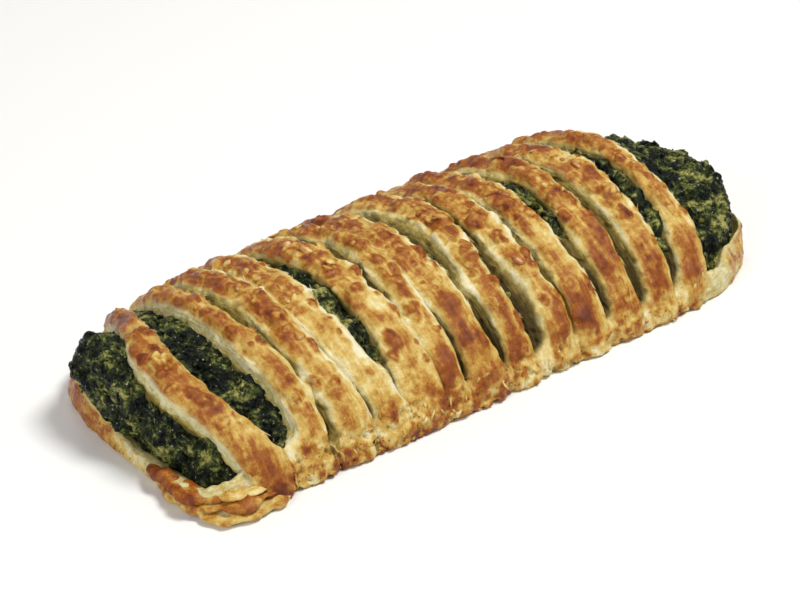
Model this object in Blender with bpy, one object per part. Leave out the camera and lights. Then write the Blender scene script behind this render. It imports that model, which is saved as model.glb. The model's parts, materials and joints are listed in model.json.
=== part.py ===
"""Spinach strudel: a slatted loaf of puff pastry baked around chopped spinach.

The loaf lies along X and rests on its flat base at z = 0. The near side is -Y.
One pastry piece holds the base sheet, the raised band all round and the
thirteen slats that cross over the top. The spinach core runs from end to end
and shows between the slats and at both ends.
"""
import math

import bpy
import bmesh
import numpy as np

# Driving sizes, in metres
LENGTH = 0.180
WIDTH = 0.083
SHEET_THICKNESS = 0.0026
WALL_THICKNESS = 0.0042
SLAT_THICKNESS = 0.0046
BASE_ROUNDING = 0.0010
CLEARANCE = 0.0003

# Height of the loaf over the crest of its slats, from left to right
CREST_X = (-0.090, -0.060, -0.020, 0.040, 0.090)
CREST_HEIGHT = (0.0260, 0.0276, 0.0293, 0.0300, 0.0307)

# The arch of the cross-section: an exponent of 2 would be half an ellipse
ARCH_EXPONENT = 1.8

# How square each corner is in plan: a larger exponent is a squarer corner
CORNER_EXPONENT = {
    ("left", "near"): 10.0,
    ("left", "far"): 3.6,
    ("right", "near"): 6.6,
    ("right", "far"): 6.6,
}

# Height of the band round the loaf, from the left end to the right end
BAND_X = (-0.090, -0.084, -0.074, 0.070, 0.090)
BAND_HEIGHT = (0.0046, 0.0060, 0.0088, 0.0092, 0.0084)

# Slats from left to right, in millimetres: the middle of the slat at its near
# foot, on the near shoulder, on the crest and at its far foot, then its width
SLATS_MM = (
    (-71.5, -78.9, -79.0, -64.5, 8.2),
    (-58.5, -57.9, -60.7, -60.0, 6.6),
    (-47.2, -49.2, -50.8, -49.6, 6.6),
    (-36.5, -39.8, -41.9, -40.4, 7.0),
    (-27.8, -27.0, -28.1, -29.0, 8.2),
    (-17.9, -18.4, -17.8, -18.4, 5.8),
    (-8.7, -9.0, -9.3, -9.0, 7.4),
    (2.8, 2.8, 6.0, 4.0, 7.6),
    (15.4, 16.3, 15.6, 15.0, 7.4),
    (24.9, 26.0, 25.5, 25.5, 7.6),
    (37.5, 38.3, 39.2, 39.0, 7.8),
    (49.6, 51.5, 51.5, 51.0, 7.6),
    (61.7, 65.2, 63.7, 63.0, 7.0),
)
# Where those four places lie along the arch, from the near foot to the far one
SLAT_STATIONS = (0.0, 0.28, 0.55, 1.0)

# A slat's feet start and end at these angles of the arch
FOOT_ANGLE = math.radians(8.0)
FOOT_SINK = 0.0011
FOOT_FLARE = 1.2
FOOT_REACH = 0.14
SLAT_SECTIONS = 19

# A slat in section: across its width, and up from the spinach, as shares of
# its width and thickness. Its left cut face slopes, its right one is steep.
SLAT_PROFILE = (
    (-0.66, -0.28),
    (-0.60, 0.38),
    (-0.42, 0.86),
    (-0.14, 1.00),
    (0.22, 1.00),
    (0.43, 0.82),
    (0.50, 0.36),
    (0.48, -0.28),
)

# The folded corner of crust at the left end of the near side
FOLD_CENTRE = (-0.0806, -0.0364, 0.0043)
FOLD_RADII = (0.0086, 0.0060, 0.0044)

# The spinach core ends here, left and right, with faces this blunt
FILLING_LEFT = -0.0864
FILLING_RIGHT = 0.0890
FILLING_BLUNTNESS = 10.0

# How finely the long bodies are divided
LENGTH_SECTIONS = 40
ARCH_POINTS = 17
BAND_LEVELS = 4

PASTRY_COLOUR = (0.66, 0.40, 0.13, 1.0)
SPINACH_COLOUR = (0.045, 0.070, 0.022, 1.0)


def clear_scene():
    """Remove every object that is already there."""
    for old in list(bpy.data.objects):
        bpy.data.objects.remove(old, do_unlink=True)


def make_collection(name):
    collection = bpy.data.collections.new(name)
    bpy.context.scene.collection.children.link(collection)
    return collection


def make_material(name, colour, roughness):
    material = bpy.data.materials.new(name)
    material.use_nodes = True
    shader = material.node_tree.nodes["Principled BSDF"]
    shader.inputs["Base Color"].default_value = colour
    shader.inputs["Roughness"].default_value = roughness
    shader.inputs["Metallic"].default_value = 0.0
    return material


def crest_height(x):
    return float(np.interp(x, CREST_X, CREST_HEIGHT))


def plan_share(x, side, reach=LENGTH / 2):
    """Share of the full half width that is left at x, on the near or far side."""
    end = "left" if x < 0 else "right"
    exponent = CORNER_EXPONENT[end, side]
    along = min(abs(x) / reach, 1.0)
    return (1.0 - along ** exponent) ** (1.0 / exponent)


def arch(angle, half_width, rise):
    """A point of the arch: angle 0 is the near foot, pi the far foot."""
    power = 2.0 / ARCH_EXPONENT
    across = -math.copysign(abs(math.cos(angle)) ** power, math.cos(angle))
    return half_width * across, rise * math.sin(angle) ** power


def stations(left, right, count, share=0.9995):
    """Places along X between two ends, closer together towards both of them."""
    turns = np.linspace(-math.pi / 2, math.pi / 2, count)
    return [share * (right if turn > 0 else -left) * math.sin(turn) for turn in turns]


def loft(name, rings, collection):
    """A closed body through rings of points that all have the same count."""
    bm = bmesh.new()
    verts = [[bm.verts.new(point) for point in ring] for ring in rings]
    for before, after in zip(verts, verts[1:]):
        count = len(before)
        for i in range(count):
            j = (i + 1) % count
            bm.faces.new((before[i], before[j], after[j], after[i]))
    bm.faces.new(reversed(verts[0]))
    bm.faces.new(verts[-1])
    bmesh.ops.recalc_face_normals(bm, faces=bm.faces)
    mesh = bpy.data.meshes.new(name)
    bm.to_mesh(mesh)
    bm.free()
    body = bpy.data.objects.new(name, mesh)
    collection.objects.link(body)
    return body


def filling_relief(x, angle):
    """How far the chopped spinach swells out of a smooth arch, in metres."""
    wide = math.sin(210.0 * x + 1.3) * math.sin(3.0 * angle + 0.6)
    fine = math.sin(520.0 * x + 2.1 * angle) * math.sin(5.0 * angle)
    return 0.00035 * wide + 0.00020 * fine


def filling_body(name, grow, collection):
    """The spinach core, or the room for it when grow is above zero."""
    left = FILLING_LEFT - grow
    right = FILLING_RIGHT + grow
    half = WIDTH / 2 - WALL_THICKNESS + grow
    base = SHEET_THICKNESS - grow
    rings = []
    for x in stations(left, right, LENGTH_SECTIONS, 0.998):
        reach = right if x > 0 else -left
        fall = (1.0 - (abs(x) / reach) ** FILLING_BLUNTNESS) ** (1.0 / FILLING_BLUNTNESS)
        rise = crest_height(x) - SLAT_THICKNESS - SHEET_THICKNESS + 2 * grow
        ring = []
        for angle in np.linspace(0.0, math.pi, ARCH_POINTS):
            side = "near" if angle < math.pi / 2 else "far"
            swell = filling_relief(x, angle)
            width = half * plan_share(x, side, reach)
            y, z = arch(angle, width + swell, rise * fall + swell)
            ring.append((x, y, base + z))
        rings.append(ring)
    return loft(name, rings, collection)


def band_body(name, collection):
    """The lower part of the loaf, up to the top of its band, still solid."""
    rings = []
    for x in stations(-LENGTH / 2, LENGTH / 2, LENGTH_SECTIONS):
        top = float(np.interp(x, BAND_X, BAND_HEIGHT))
        near = []
        far = []
        for height in np.linspace(BASE_ROUNDING, top, BAND_LEVELS):
            angle = math.asin((height / crest_height(x)) ** (ARCH_EXPONENT / 2.0))
            y, z = arch(angle, WIDTH / 2, crest_height(x))
            if not near:
                under = y + BASE_ROUNDING
                near.append((x, under * plan_share(x, "near"), 0.0))
                far.append((x, -under * plan_share(x, "far"), 0.0))
            near.append((x, y * plan_share(x, "near"), z))
            far.append((x, -y * plan_share(x, "far"), z))
        rings.append(near + far[::-1])
    return loft(name, rings, collection)


def slat_middle(slat_mm, share):
    """X of a slat's middle line, smoothed between its four stated places."""
    places = slat_mm[:4]
    window = np.linspace(-0.12, 0.12, 7)
    spots = np.clip(share + window, 0.0, 1.0)
    return float(np.mean(np.interp(spots, SLAT_STATIONS, places))) / 1000.0


def slat_body(name, slat_mm, collection):
    """One strip of pastry that crosses over the core and ends in the band."""
    width = slat_mm[4] / 1000.0
    half = WIDTH / 2 - WALL_THICKNESS
    step = 0.01
    rings = []
    for share in np.linspace(0.0, 1.0, SLAT_SECTIONS):
        angle = FOOT_ANGLE + share * (math.pi - 2 * FOOT_ANGLE)
        side = "near" if angle < math.pi / 2 else "far"
        middle = slat_middle(slat_mm, share)
        span = half * plan_share(middle, side)
        rise = crest_height(middle) - SLAT_THICKNESS - SHEET_THICKNESS
        y, z = arch(angle, span, rise)
        y_next, z_next = arch(angle + step, span, rise)
        slope = math.hypot(y_next - y, z_next - z)
        up_y = -(z_next - z) / slope
        up_z = (y_next - y) / slope
        foot = max(0.0, 1.0 - min(share, 1.0 - share) / FOOT_REACH)
        thick = SLAT_THICKNESS - FOOT_SINK * foot
        wide = width * (1.0 + (FOOT_FLARE - 1.0) * foot)
        ring = []
        for across, up in SLAT_PROFILE:
            out = up * thick
            ring.append((middle + across * wide, y + out * up_y, SHEET_THICKNESS + z + out * up_z))
        rings.append(ring)
    return loft(name, rings, collection)


def fold_body(name, collection):
    """The thick fold of crust at the near left corner."""
    bm = bmesh.new()
    bmesh.ops.create_icosphere(bm, subdivisions=2, radius=1.0)
    bmesh.ops.scale(bm, vec=FOLD_RADII, verts=bm.verts)
    bmesh.ops.translate(bm, vec=FOLD_CENTRE, verts=bm.verts)
    for vert in bm.verts:
        vert.co.z = max(vert.co.z, 0.0002)
    mesh = bpy.data.meshes.new(name)
    bm.to_mesh(mesh)
    bm.free()
    body = bpy.data.objects.new(name, mesh)
    collection.objects.link(body)
    return body


def as_tool(body):
    """Mark a body that only cuts or adds to another one."""
    body.hide_render = True
    body.display_type = "WIRE"


def build_pastry(parts, tools, room):
    """The band with its slats and fold, hollowed for the spinach core."""
    pastry = band_body("pastry", parts)
    as_tool(fold_body("corner_fold", tools))
    for number, slat_mm in enumerate(SLATS_MM, start=1):
        as_tool(slat_body(f"slat_{number:02d}", slat_mm, tools))
    joined = pastry.modifiers.new("join slats and fold", "BOOLEAN")
    joined.operation = "UNION"
    joined.solver = "EXACT"
    joined.operand_type = "COLLECTION"
    joined.collection = tools
    as_tool(filling_body("filling_room", CLEARANCE, room))
    hollowed = pastry.modifiers.new("hollow out", "BOOLEAN")
    hollowed.operation = "DIFFERENCE"
    hollowed.solver = "EXACT"
    hollowed.operand_type = "COLLECTION"
    hollowed.collection = room
    pastry.data.materials.append(make_material("baked_pastry", PASTRY_COLOUR, 0.45))
    return pastry


def build_filling(parts):
    """The chopped spinach core, one solid from end to end."""
    filling = filling_body("filling", 0.0, parts)
    filling.data.materials.append(make_material("spinach", SPINACH_COLOUR, 0.5))
    return filling


def main():
    clear_scene()
    parts = make_collection("spinach_strudel")
    tools = make_collection("slats_and_fold")
    room = make_collection("room_for_filling")
    build_pastry(parts, tools, room)
    build_filling(parts)


main()
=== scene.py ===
# %% [markdown]
# # A slatted spinach strudel
# The real strudel is a sheet of puff pastry folded up around chopped spinach. The top of the sheet is
# slit across, so that it opens into thirteen uneven slats as it bakes. The imported solids already say
# how large the loaf is and where the slats run, so they are loaded first and the loaf's length, width
# and height are read from them.

# %% Load the frame and measure it
import json
import math

import bpy
import numpy as np
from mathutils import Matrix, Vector

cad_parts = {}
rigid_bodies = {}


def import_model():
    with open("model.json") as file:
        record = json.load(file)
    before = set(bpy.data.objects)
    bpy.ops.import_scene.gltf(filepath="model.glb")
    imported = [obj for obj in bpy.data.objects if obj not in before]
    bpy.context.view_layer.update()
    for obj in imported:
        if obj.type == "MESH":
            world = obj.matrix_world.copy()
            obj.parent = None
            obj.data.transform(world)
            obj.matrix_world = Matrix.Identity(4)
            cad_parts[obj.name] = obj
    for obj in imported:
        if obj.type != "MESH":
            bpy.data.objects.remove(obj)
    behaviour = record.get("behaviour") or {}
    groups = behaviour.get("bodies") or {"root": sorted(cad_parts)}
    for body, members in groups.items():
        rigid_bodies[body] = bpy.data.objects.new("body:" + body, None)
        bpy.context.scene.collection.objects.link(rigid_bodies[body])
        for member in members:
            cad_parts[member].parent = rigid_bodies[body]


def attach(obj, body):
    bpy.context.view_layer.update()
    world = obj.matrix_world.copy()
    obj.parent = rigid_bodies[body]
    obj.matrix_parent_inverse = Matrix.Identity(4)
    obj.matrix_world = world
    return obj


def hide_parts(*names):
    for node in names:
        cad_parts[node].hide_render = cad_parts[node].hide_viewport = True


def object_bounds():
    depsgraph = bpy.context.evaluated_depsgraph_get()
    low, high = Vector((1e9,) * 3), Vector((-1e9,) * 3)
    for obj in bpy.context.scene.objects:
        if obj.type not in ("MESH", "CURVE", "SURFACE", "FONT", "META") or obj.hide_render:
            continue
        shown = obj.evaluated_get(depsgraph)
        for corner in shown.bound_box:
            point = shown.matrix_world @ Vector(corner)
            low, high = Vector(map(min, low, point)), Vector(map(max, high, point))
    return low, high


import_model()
cad_low, cad_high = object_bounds()
MM = 0.001
HALF_LENGTH = cad_high.x
HALF_WIDTH = cad_high.y
HEIGHT = cad_high.z
print(f"loaf {2000 * HALF_LENGTH:.1f} x {2000 * HALF_WIDTH:.1f} x {1000 * HEIGHT:.1f} mm")

# %% [markdown]
# ## The arch of the loaf
# Seen from its end, the loaf is an arch. A half circle would be too round and a box too square, so the
# arch is a superellipse: the exponent says how square it is. The same curve, lying flat, rounds the
# corners of the footprint. The far left corner is the roundest one.

# %% Crest line and footprint
ARCH_EXPONENT = 1.8
CREST_X = np.array([-90.0, -60.0, -20.0, 40.0, 90.0]) * MM
CREST_Z = np.array([0.857, 0.910, 0.966, 0.989, 1.004]) * HEIGHT
CORNER_NEAR_LEFT = 10.0
CORNER_FAR_LEFT = 3.6
CORNER_RIGHT = 6.6


def ease(low, high, value):
    """0 below low, 1 above high, and a smooth step between them."""
    share = np.clip((value - low) / (high - low), 0.0, 1.0)
    return share * share * (3.0 - 2.0 * share)


def crest(x):
    return np.interp(x, CREST_X, CREST_Z)


def footprint(x, angle):
    """Share of the half width that is left at x; an angle past 90 degrees is the far side."""
    far = ease(math.radians(60), math.radians(120), angle)
    left = CORNER_NEAR_LEFT + (CORNER_FAR_LEFT - CORNER_NEAR_LEFT) * far
    square = np.where(x < 0, left, CORNER_RIGHT)
    along = np.clip(np.abs(x) / HALF_LENGTH, 0.0, 0.9999)
    return (1.0 - along ** square) ** (1.0 / square)


print("share of the width left at x = -80 mm:", footprint(np.array([-80 * MM]), np.array([0.0])))

# %% [markdown]
# Every place on the pastry is given by three numbers: x along the loaf, the angle round the arch (0 is
# the near edge on the table, 90 degrees the crest) and the depth under the skin. One function turns
# them into a point. It also finds the direction straight out of the skin, by looking a little ahead.

# %% Place on the skin
POWER = 2.0 / ARCH_EXPONENT
LOOK = 0.004


def arch(x, angle, half, rise):
    across = -np.sign(np.cos(angle)) * np.abs(np.cos(angle)) ** POWER
    up = np.sign(np.sin(angle)) * np.abs(np.sin(angle)) ** POWER
    return half * footprint(x, angle) * across, rise * up


def skin(x, angle, depth, half=HALF_WIDTH, rise=None, base=0.0):
    """Points at a depth under an arch; x, angle and depth are arrays of one shape."""
    rise = crest(x) if rise is None else rise
    y, z = arch(x, angle, half, rise)
    y_after, z_after = arch(x, angle + LOOK, half, rise)
    y_before, z_before = arch(x, angle - LOOK, half, rise)
    length = np.hypot(y_after - y_before, z_after - z_before)
    out_y = -(z_after - z_before) / length
    out_z = (y_after - y_before) / length
    return np.stack([x, y - depth * out_y, base + z - depth * out_z], axis=-1)


_top = skin(np.zeros(1), np.array([math.pi / 2]), np.zeros(1))
print("top of the loaf at its middle, in mm:", (1000 * _top).round(1))

# %% [markdown]
# Equal angles don't give equal steps on a squarish arch, and rings that bunch up would show. So the
# length of the skin is measured once, in many small steps, and angles are read from it.

# %% Even steps round the arch
FINE_TURNS = np.linspace(0.0, math.pi, 1801)
_fine = skin(np.zeros_like(FINE_TURNS), FINE_TURNS, np.zeros_like(FINE_TURNS))
FINE_ARC = np.concatenate([[0.0], np.cumsum(np.linalg.norm(np.diff(_fine, axis=0), axis=1))])


def arc_at(angle):
    """Distance along the skin from the near edge, in metres."""
    return np.interp(angle, FINE_TURNS, FINE_ARC)


def turns(count):
    """Angles that cut the arch into even steps."""
    return np.interp(np.linspace(0.0, FINE_ARC[-1], count), FINE_ARC, FINE_TURNS)


print(f"from edge to edge over the crest: {1000 * FINE_ARC[-1]:.0f} mm")

# %% [markdown]
# ## Uneven like dough
# Nothing on a baked loaf is straight or smooth. A grain function gives every point in space a smooth
# random number. It works on places and not on meshes, so two pieces that touch get the same bumps
# where they meet. Size is the width of a bump: 9 mm is a puff, 3 mm a blister, 1 mm a crumb.

# %% Grain
GRAIN_CELLS = 24
GRAIN_SPREAD = 1.35
GRAIN_GAIN = 2.1


def unit(vectors):
    """Vectors of length 1 in the same directions."""
    return vectors / np.linalg.norm(vectors, axis=-1, keepdims=True)


def grain(points, size, seed, octaves=1):
    """Smooth random values from about -1 to 1, one for each point: slopes at lattice corners, eased."""
    total = np.zeros(len(points))
    weight = 1.0
    whole = 0.0
    for octave in range(octaves):
        rng = np.random.default_rng(1000 * seed + octave)
        slopes = unit(rng.normal(size=(GRAIN_CELLS,) * 3 + (3,)))
        start = rng.uniform(0, GRAIN_CELLS, 3)
        place = points / (GRAIN_SPREAD * np.asarray(size)) * 2.0 ** octave + start
        cell = np.floor(place).astype(int)
        part = place - cell
        eased = part ** 3 * (part * (part * 6.0 - 15.0) + 10.0)
        value = np.zeros(len(points))
        for corner in np.ndindex(2, 2, 2):
            share = np.prod(np.where(corner, eased, 1.0 - eased), axis=1)
            i, j, k = ((cell + corner) % GRAIN_CELLS).T
            value += share * np.sum(slopes[i, j, k] * (part - corner), axis=1)
        total += weight * value
        whole += weight
        weight *= 0.55
    return GRAIN_GAIN * total / whole


def bubbles(flat, size, seed):
    """Round domes packed side by side on a flat map: height 0 to 1, and a random number for each."""
    rng = np.random.default_rng(seed)
    cells = 64
    spots_of = rng.uniform(0.0, 1.0, (cells, cells, 2))
    numbers = rng.uniform(0.0, 1.0, (cells, cells))
    radii = rng.uniform(0.45, 0.85, (cells, cells))
    place = flat / size + 17.0
    cell = np.floor(place).astype(int)
    height = np.zeros(len(flat))
    number = np.zeros(len(flat))
    for step in np.ndindex(3, 3):
        i, j = ((cell + step - 1) % cells).T
        away = place - (cell + step - 1 + spots_of[i, j])
        dome = np.clip(1.0 - np.sum(away ** 2, axis=1) / radii[i, j] ** 2, 0.0, 1.0)
        taller = dome > height
        height = np.where(taller, dome, height)
        number = np.where(taller, numbers[i, j], number)
    return np.sqrt(height), number


print("grain of three points 1 mm apart:", grain(np.eye(3) * MM, 3 * MM, 1).round(2))

# %% [markdown]
# ## A blank to shape
# Each long piece of dough starts as a round bar: a cylinder whose long edges are subdivided into even
# steps. The bar is a grid of rings and columns, so any strip can be made from it by saying where each
# ring goes. Rolling dough by hand is the same: first an even roll, then the shape.

# %% Bars with even rings
def deselect_all():
    for other in bpy.context.scene.objects:
        other.select_set(False)


def make_bar(name, rings, columns):
    """A closed bar and, for each of its points, the ring and the column that it belongs to."""
    deselect_all()
    bpy.ops.mesh.primitive_circle_add(vertices=columns, radius=1.0, fill_type="NOTHING")
    bar = bpy.context.object
    bar.name = bar.data.name = name
    draw = bar.modifiers.new("draw out", "SCREW")
    draw.angle = 0.0
    draw.screw_offset = 2.0
    draw.steps = draw.render_steps = rings - 1
    draw.use_smooth_shade = True
    bpy.ops.object.modifier_apply(modifier=draw.name)
    bpy.ops.object.mode_set(mode="EDIT")
    bpy.ops.mesh.select_mode(type="VERT")
    for end in (0.0, 2.0):
        bpy.ops.mesh.select_all(action="DESELECT")
        bpy.ops.object.mode_set(mode="OBJECT")
        for vertex in bar.data.vertices:
            vertex.select = abs(vertex.co.z - end) < 1e-5
        bpy.ops.object.mode_set(mode="EDIT")
        bpy.ops.mesh.edge_face_add()
    bpy.ops.object.mode_set(mode="OBJECT")
    side = bar.data.polygons[0]
    if side.normal.x * side.center.x + side.normal.y * side.center.y < 0:
        bar.data.flip_normals()
    co = np.empty(3 * len(bar.data.vertices))
    bar.data.vertices.foreach_get("co", co)
    co = co.reshape(-1, 3)
    ring = np.rint(co[:, 2] / 2.0 * (rings - 1)).astype(int)
    turn = np.arctan2(co[:, 1], co[:, 0]) / (2 * math.pi)
    column = np.rint(turn * columns).astype(int) % columns
    return bar, ring, column


def on_columns(values, columns):
    """One value for each ring, repeated over all its columns."""
    return np.repeat(values[:, None], columns, axis=1)


def grid_normals(grid):
    """Directions out of a grid of rings and columns whose columns close up."""
    along = np.gradient(grid, axis=0)
    around = np.roll(grid, -1, axis=1) - np.roll(grid, 1, axis=1)
    normal = np.cross(around, along)
    length = np.linalg.norm(normal, axis=2, keepdims=True)
    return normal / np.maximum(length, 1e-12)


def shape_bar(bar, name, grid, ring, column, **fields):
    """A copy of a bar with its points laid on a grid, and a value of each field at every point."""
    mesh = bar.data.copy()
    piece = bpy.data.objects.new(name, mesh)
    mesh.name = name
    bpy.context.scene.collection.objects.link(piece)
    mesh.vertices.foreach_set("co", grid[ring, column].astype(np.float32).ravel())
    for field, values in fields.items():
        kind = "FLOAT_VECTOR" if values.ndim == 3 else "FLOAT"
        layer = mesh.attributes.new(field, kind, "POINT")
        key = "vector" if values.ndim == 3 else "value"
        layer.data.foreach_set(key, values[ring, column].astype(np.float32).ravel())
    mesh.update()
    return piece


SLAT_RINGS = 351
SLAT_COLUMNS = 92
slat_bar, slat_ring, slat_column = make_bar("slat_bar", SLAT_RINGS, SLAT_COLUMNS)
print(f"slat bar: {len(slat_bar.data.vertices)} points, {len(slat_bar.data.polygons)} faces")

# %% [markdown]
# ## Where the slats run
# Each slat has a left and a right edge, measured in millimetres along the loaf at six angles of the
# arch. A slit opened between each pair of slats. Some slits closed again for part of their way, where
# two slats leant on each other or cheese bridged them, so each slit says how open it is by angle.

# %% Edges and slits
EDGE_ANGLES = (20, 40, 60, 80, 100, 160)
SLAT_EDGES_MM = (
    ((-77.0, -80.2, -84.2, -84.7, -81.5, -69.5), (-66.0, -71.3, -75.8, -76.4, -74.5, -63.2)),
    ((-62.4, -60.6, -62.0, -63.5, -63.5, -62.4), (-55.5, -53.8, -55.5, -58.0, -58.0, -56.4)),
    ((-51.5, -51.0, -53.5, -53.2, -53.5, -52.6), (-42.7, -44.0, -46.0, -46.2, -46.0, -46.6)),
    ((-41.2, -42.2, -44.6, -45.6, -45.4, -43.6), (-32.2, -35.6, -37.5, -38.3, -37.2, -37.2)),
    ((-32.2, -32.0, -31.2, -31.6, -33.0, -32.6), (-22.4, -22.4, -22.6, -24.0, -23.5, -25.6)),
    ((-21.4, -21.8, -20.5, -19.5, -19.0, -21.4), (-14.8, -15.4, -14.2, -14.1, -14.5, -15.4)),
    ((-13.4, -12.2, -13.2, -13.5, -13.5, -12.4), (-3.8, -5.2, -4.5, -5.1, -5.2, -5.6)),
    ((-1.0, -0.2, 0.2, 2.8, 2.0, 0.6), (6.2, 5.6, 6.3, 8.8, 10.0, 7.4)),
    ((11.6, 13.6, 12.0, 11.2, 12.5, 11.8), (18.8, 18.8, 18.8, 18.0, 19.8, 18.2)),
    ((20.2, 21.5, 22.0, 22.0, 22.0, 22.0), (29.8, 29.5, 29.0, 29.2, 29.0, 29.0)),
    ((33.4, 34.0, 34.5, 35.5, 35.8, 35.6), (41.0, 41.0, 42.9, 42.5, 42.5, 42.4)),
    ((45.6, 47.4, 48.0, 47.2, 46.5, 47.8), (53.2, 54.6, 54.8, 55.3, 55.0, 54.4)),
    ((57.6, 60.3, 61.9, 61.8, 60.0, 60.0), (65.5, 67.2, 68.3, 67.7, 67.3, 66.0)),
)
SLITS = (
    ((24, 0), (30, 0.7), (36, 1), (150, 1), (162, 0)),
    ((16, 0), (22, 0.9), (32, 0.9), (38, 0.30), (46, 0.25), (52, 0.9), (60, 1), (146, 1), (160, 0)),
    (
        (16, 0), (22, 0.9), (31, 0.9), (38, 0.40), (58, 0.40), (68, 0.12), (78, 0.05), (106, 0.05),
        (115, 1), (150, 1), (162, 0),
    ),
    ((20, 0), (30, 0.5), (40, 0.9), (46, 1), (150, 1), (162, 0)),
    ((16, 0), (22, 0.8), (30, 0.8), (37, 0.25), (55, 0.25), (62, 0.9), (70, 1), (148, 1), (162, 0)),
    ((15, 0), (22, 1), (46, 1), (53, 0.30), (60, 0.05), (110, 0.05), (118, 1), (148, 1), (162, 0)),
    ((15, 0), (22, 1), (46, 1), (51, 0.45), (57, 0.45), (62, 1), (148, 1), (160, 0)),
    ((15, 0), (24, 1), (150, 1), (162, 0)),
    ((14, 0), (22, 1), (80, 1), (92, 0.5), (112, 0.3), (120, 1), (150, 1), (162, 0)),
    ((15, 0), (23, 1), (150, 1), (162, 0)),
    ((14, 0), (23, 1), (150, 1), (162, 0)),
    ((15, 0), (24, 0.9), (32, 1), (150, 1), (162, 0)),
)
# Where the spinach itself shows in a slit, by the number of the slat before it
SPINACH_SHOWS = {
    0: ((23, 0), (29, 1), (150, 1), (160, 0)),
    3: ((38, 0), (47, 1), (106, 1), (116, 0.3), (140, 0.3), (150, 0)),
    9: ((55, 0), (63, 1), (94, 1), (102, 0)),
    11: ((42, 0), (50, 1), (102, 1), (112, 0.2), (140, 0.2), (150, 0)),
}
SLATS = len(SLAT_EDGES_MM)
WOBBLE = 0.35 * MM


def softly(at, places, values, spread):
    """Values between stated places, with the corners of the line rounded off over a spread."""
    shifts = np.linspace(-spread, spread, 7)
    return np.mean([np.interp(at + shift, places, values) for shift in shifts], axis=0)


def slat_edge(number, side, angle):
    """X of a slat's left (0) or right (1) edge, wavy like a knife cut."""
    line = softly(np.degrees(angle), EDGE_ANGLES, SLAT_EDGES_MM[number][side], 6.0) * MM
    spots = np.stack([np.full_like(angle, 0.1 * number + 0.04 * side), arc_at(angle), 0 * angle], 1)
    return line + WOBBLE * (grain(spots, 7 * MM, 3) + 0.5 * grain(spots, 2.2 * MM, 4))


def slit_open(number, angle):
    """How open the slit after a slat is, and how much spinach it shows, both 0 to 1."""
    if not 0 <= number < len(SLITS):
        return np.ones_like(angle), np.ones_like(angle)
    shows = SPINACH_SHOWS.get(number, ((0, 0), (180, 0)))
    return tuple(softly(np.degrees(angle), *zip(*table), 2.5) for table in (SLITS[number], shows))


_angle = turns(7)
print("left edge of the first slat, in mm:", (1000 * slat_edge(0, 0, _angle)).round(1))

# %% [markdown]
# ## The section of a slat
# Cut across, a slat is like a roof tile. On its left a cut face slopes down and runs in under the
# slat before it, its top is crowned, and its right edge is crisp and hangs over the next slit. Where
# the spinach shows, the face is steep and stops on the spinach. Towards the foot the slits only get
# shallower, so each strip still runs under its neighbour and there is no hole. The section is a
# handful of corners; a spread matrix shares them out over the columns of the bar and rounds them.

# %% Section of a slat
CORNER_COLUMNS = (0, 3, 13, 22, 31, 38, 41, 46, 51, 57, 63, 67, 69, 74, 79, 82, 86, 90)
LAP = 1.1 * MM
SKIN_STEP = 0.22 * MM
SPINACH_DEPTH = 5.6 * MM
# How far a face leans out where it stops on the spinach, with the slats whose faces lean further
LEAN_MM = 0.7
SPINACH_LEANS_MM = {0: 0.9, 1: 2.7, 4: 2.4, 10: 2.4, 12: 1.8}
UNDER_DEPTH = 7.4 * MM
CROWN = 0.95 * MM
HOLLOWS_MM = (4.6, 4.6, 4.2, 4.4, 4.4, 4.4, 5.0, 4.8, 4.2, 4.2, 4.8, 4.8)


def spread_matrix(corner_columns, columns, passes):
    """Shares of each corner at each column, rounded by a number of smoothing passes."""
    spread = np.zeros((len(corner_columns), columns))
    for corner in range(len(corner_columns)):
        unit = np.zeros(len(corner_columns))
        unit[corner] = 1.0
        spread[corner] = np.interp(np.arange(columns), corner_columns, unit)
    for _ in range(passes):
        spread = 0.25 * np.roll(spread, 1, axis=1) + 0.5 * spread + 0.25 * np.roll(spread, -1, axis=1)
    return spread


SLAT_SPREAD = spread_matrix(CORNER_COLUMNS, SLAT_COLUMNS, 1)


def slit_floor(number, angle):
    """Depth of the slit after a slat, and how much spinach it shows."""
    openness, shows = slit_open(number, angle)
    hollow = HOLLOWS_MM[number] * MM if 0 <= number < len(HOLLOWS_MM) else SPINACH_DEPTH
    return SKIN_STEP + (hollow + (SPINACH_DEPTH - hollow) * shows) * openness, shows


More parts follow.
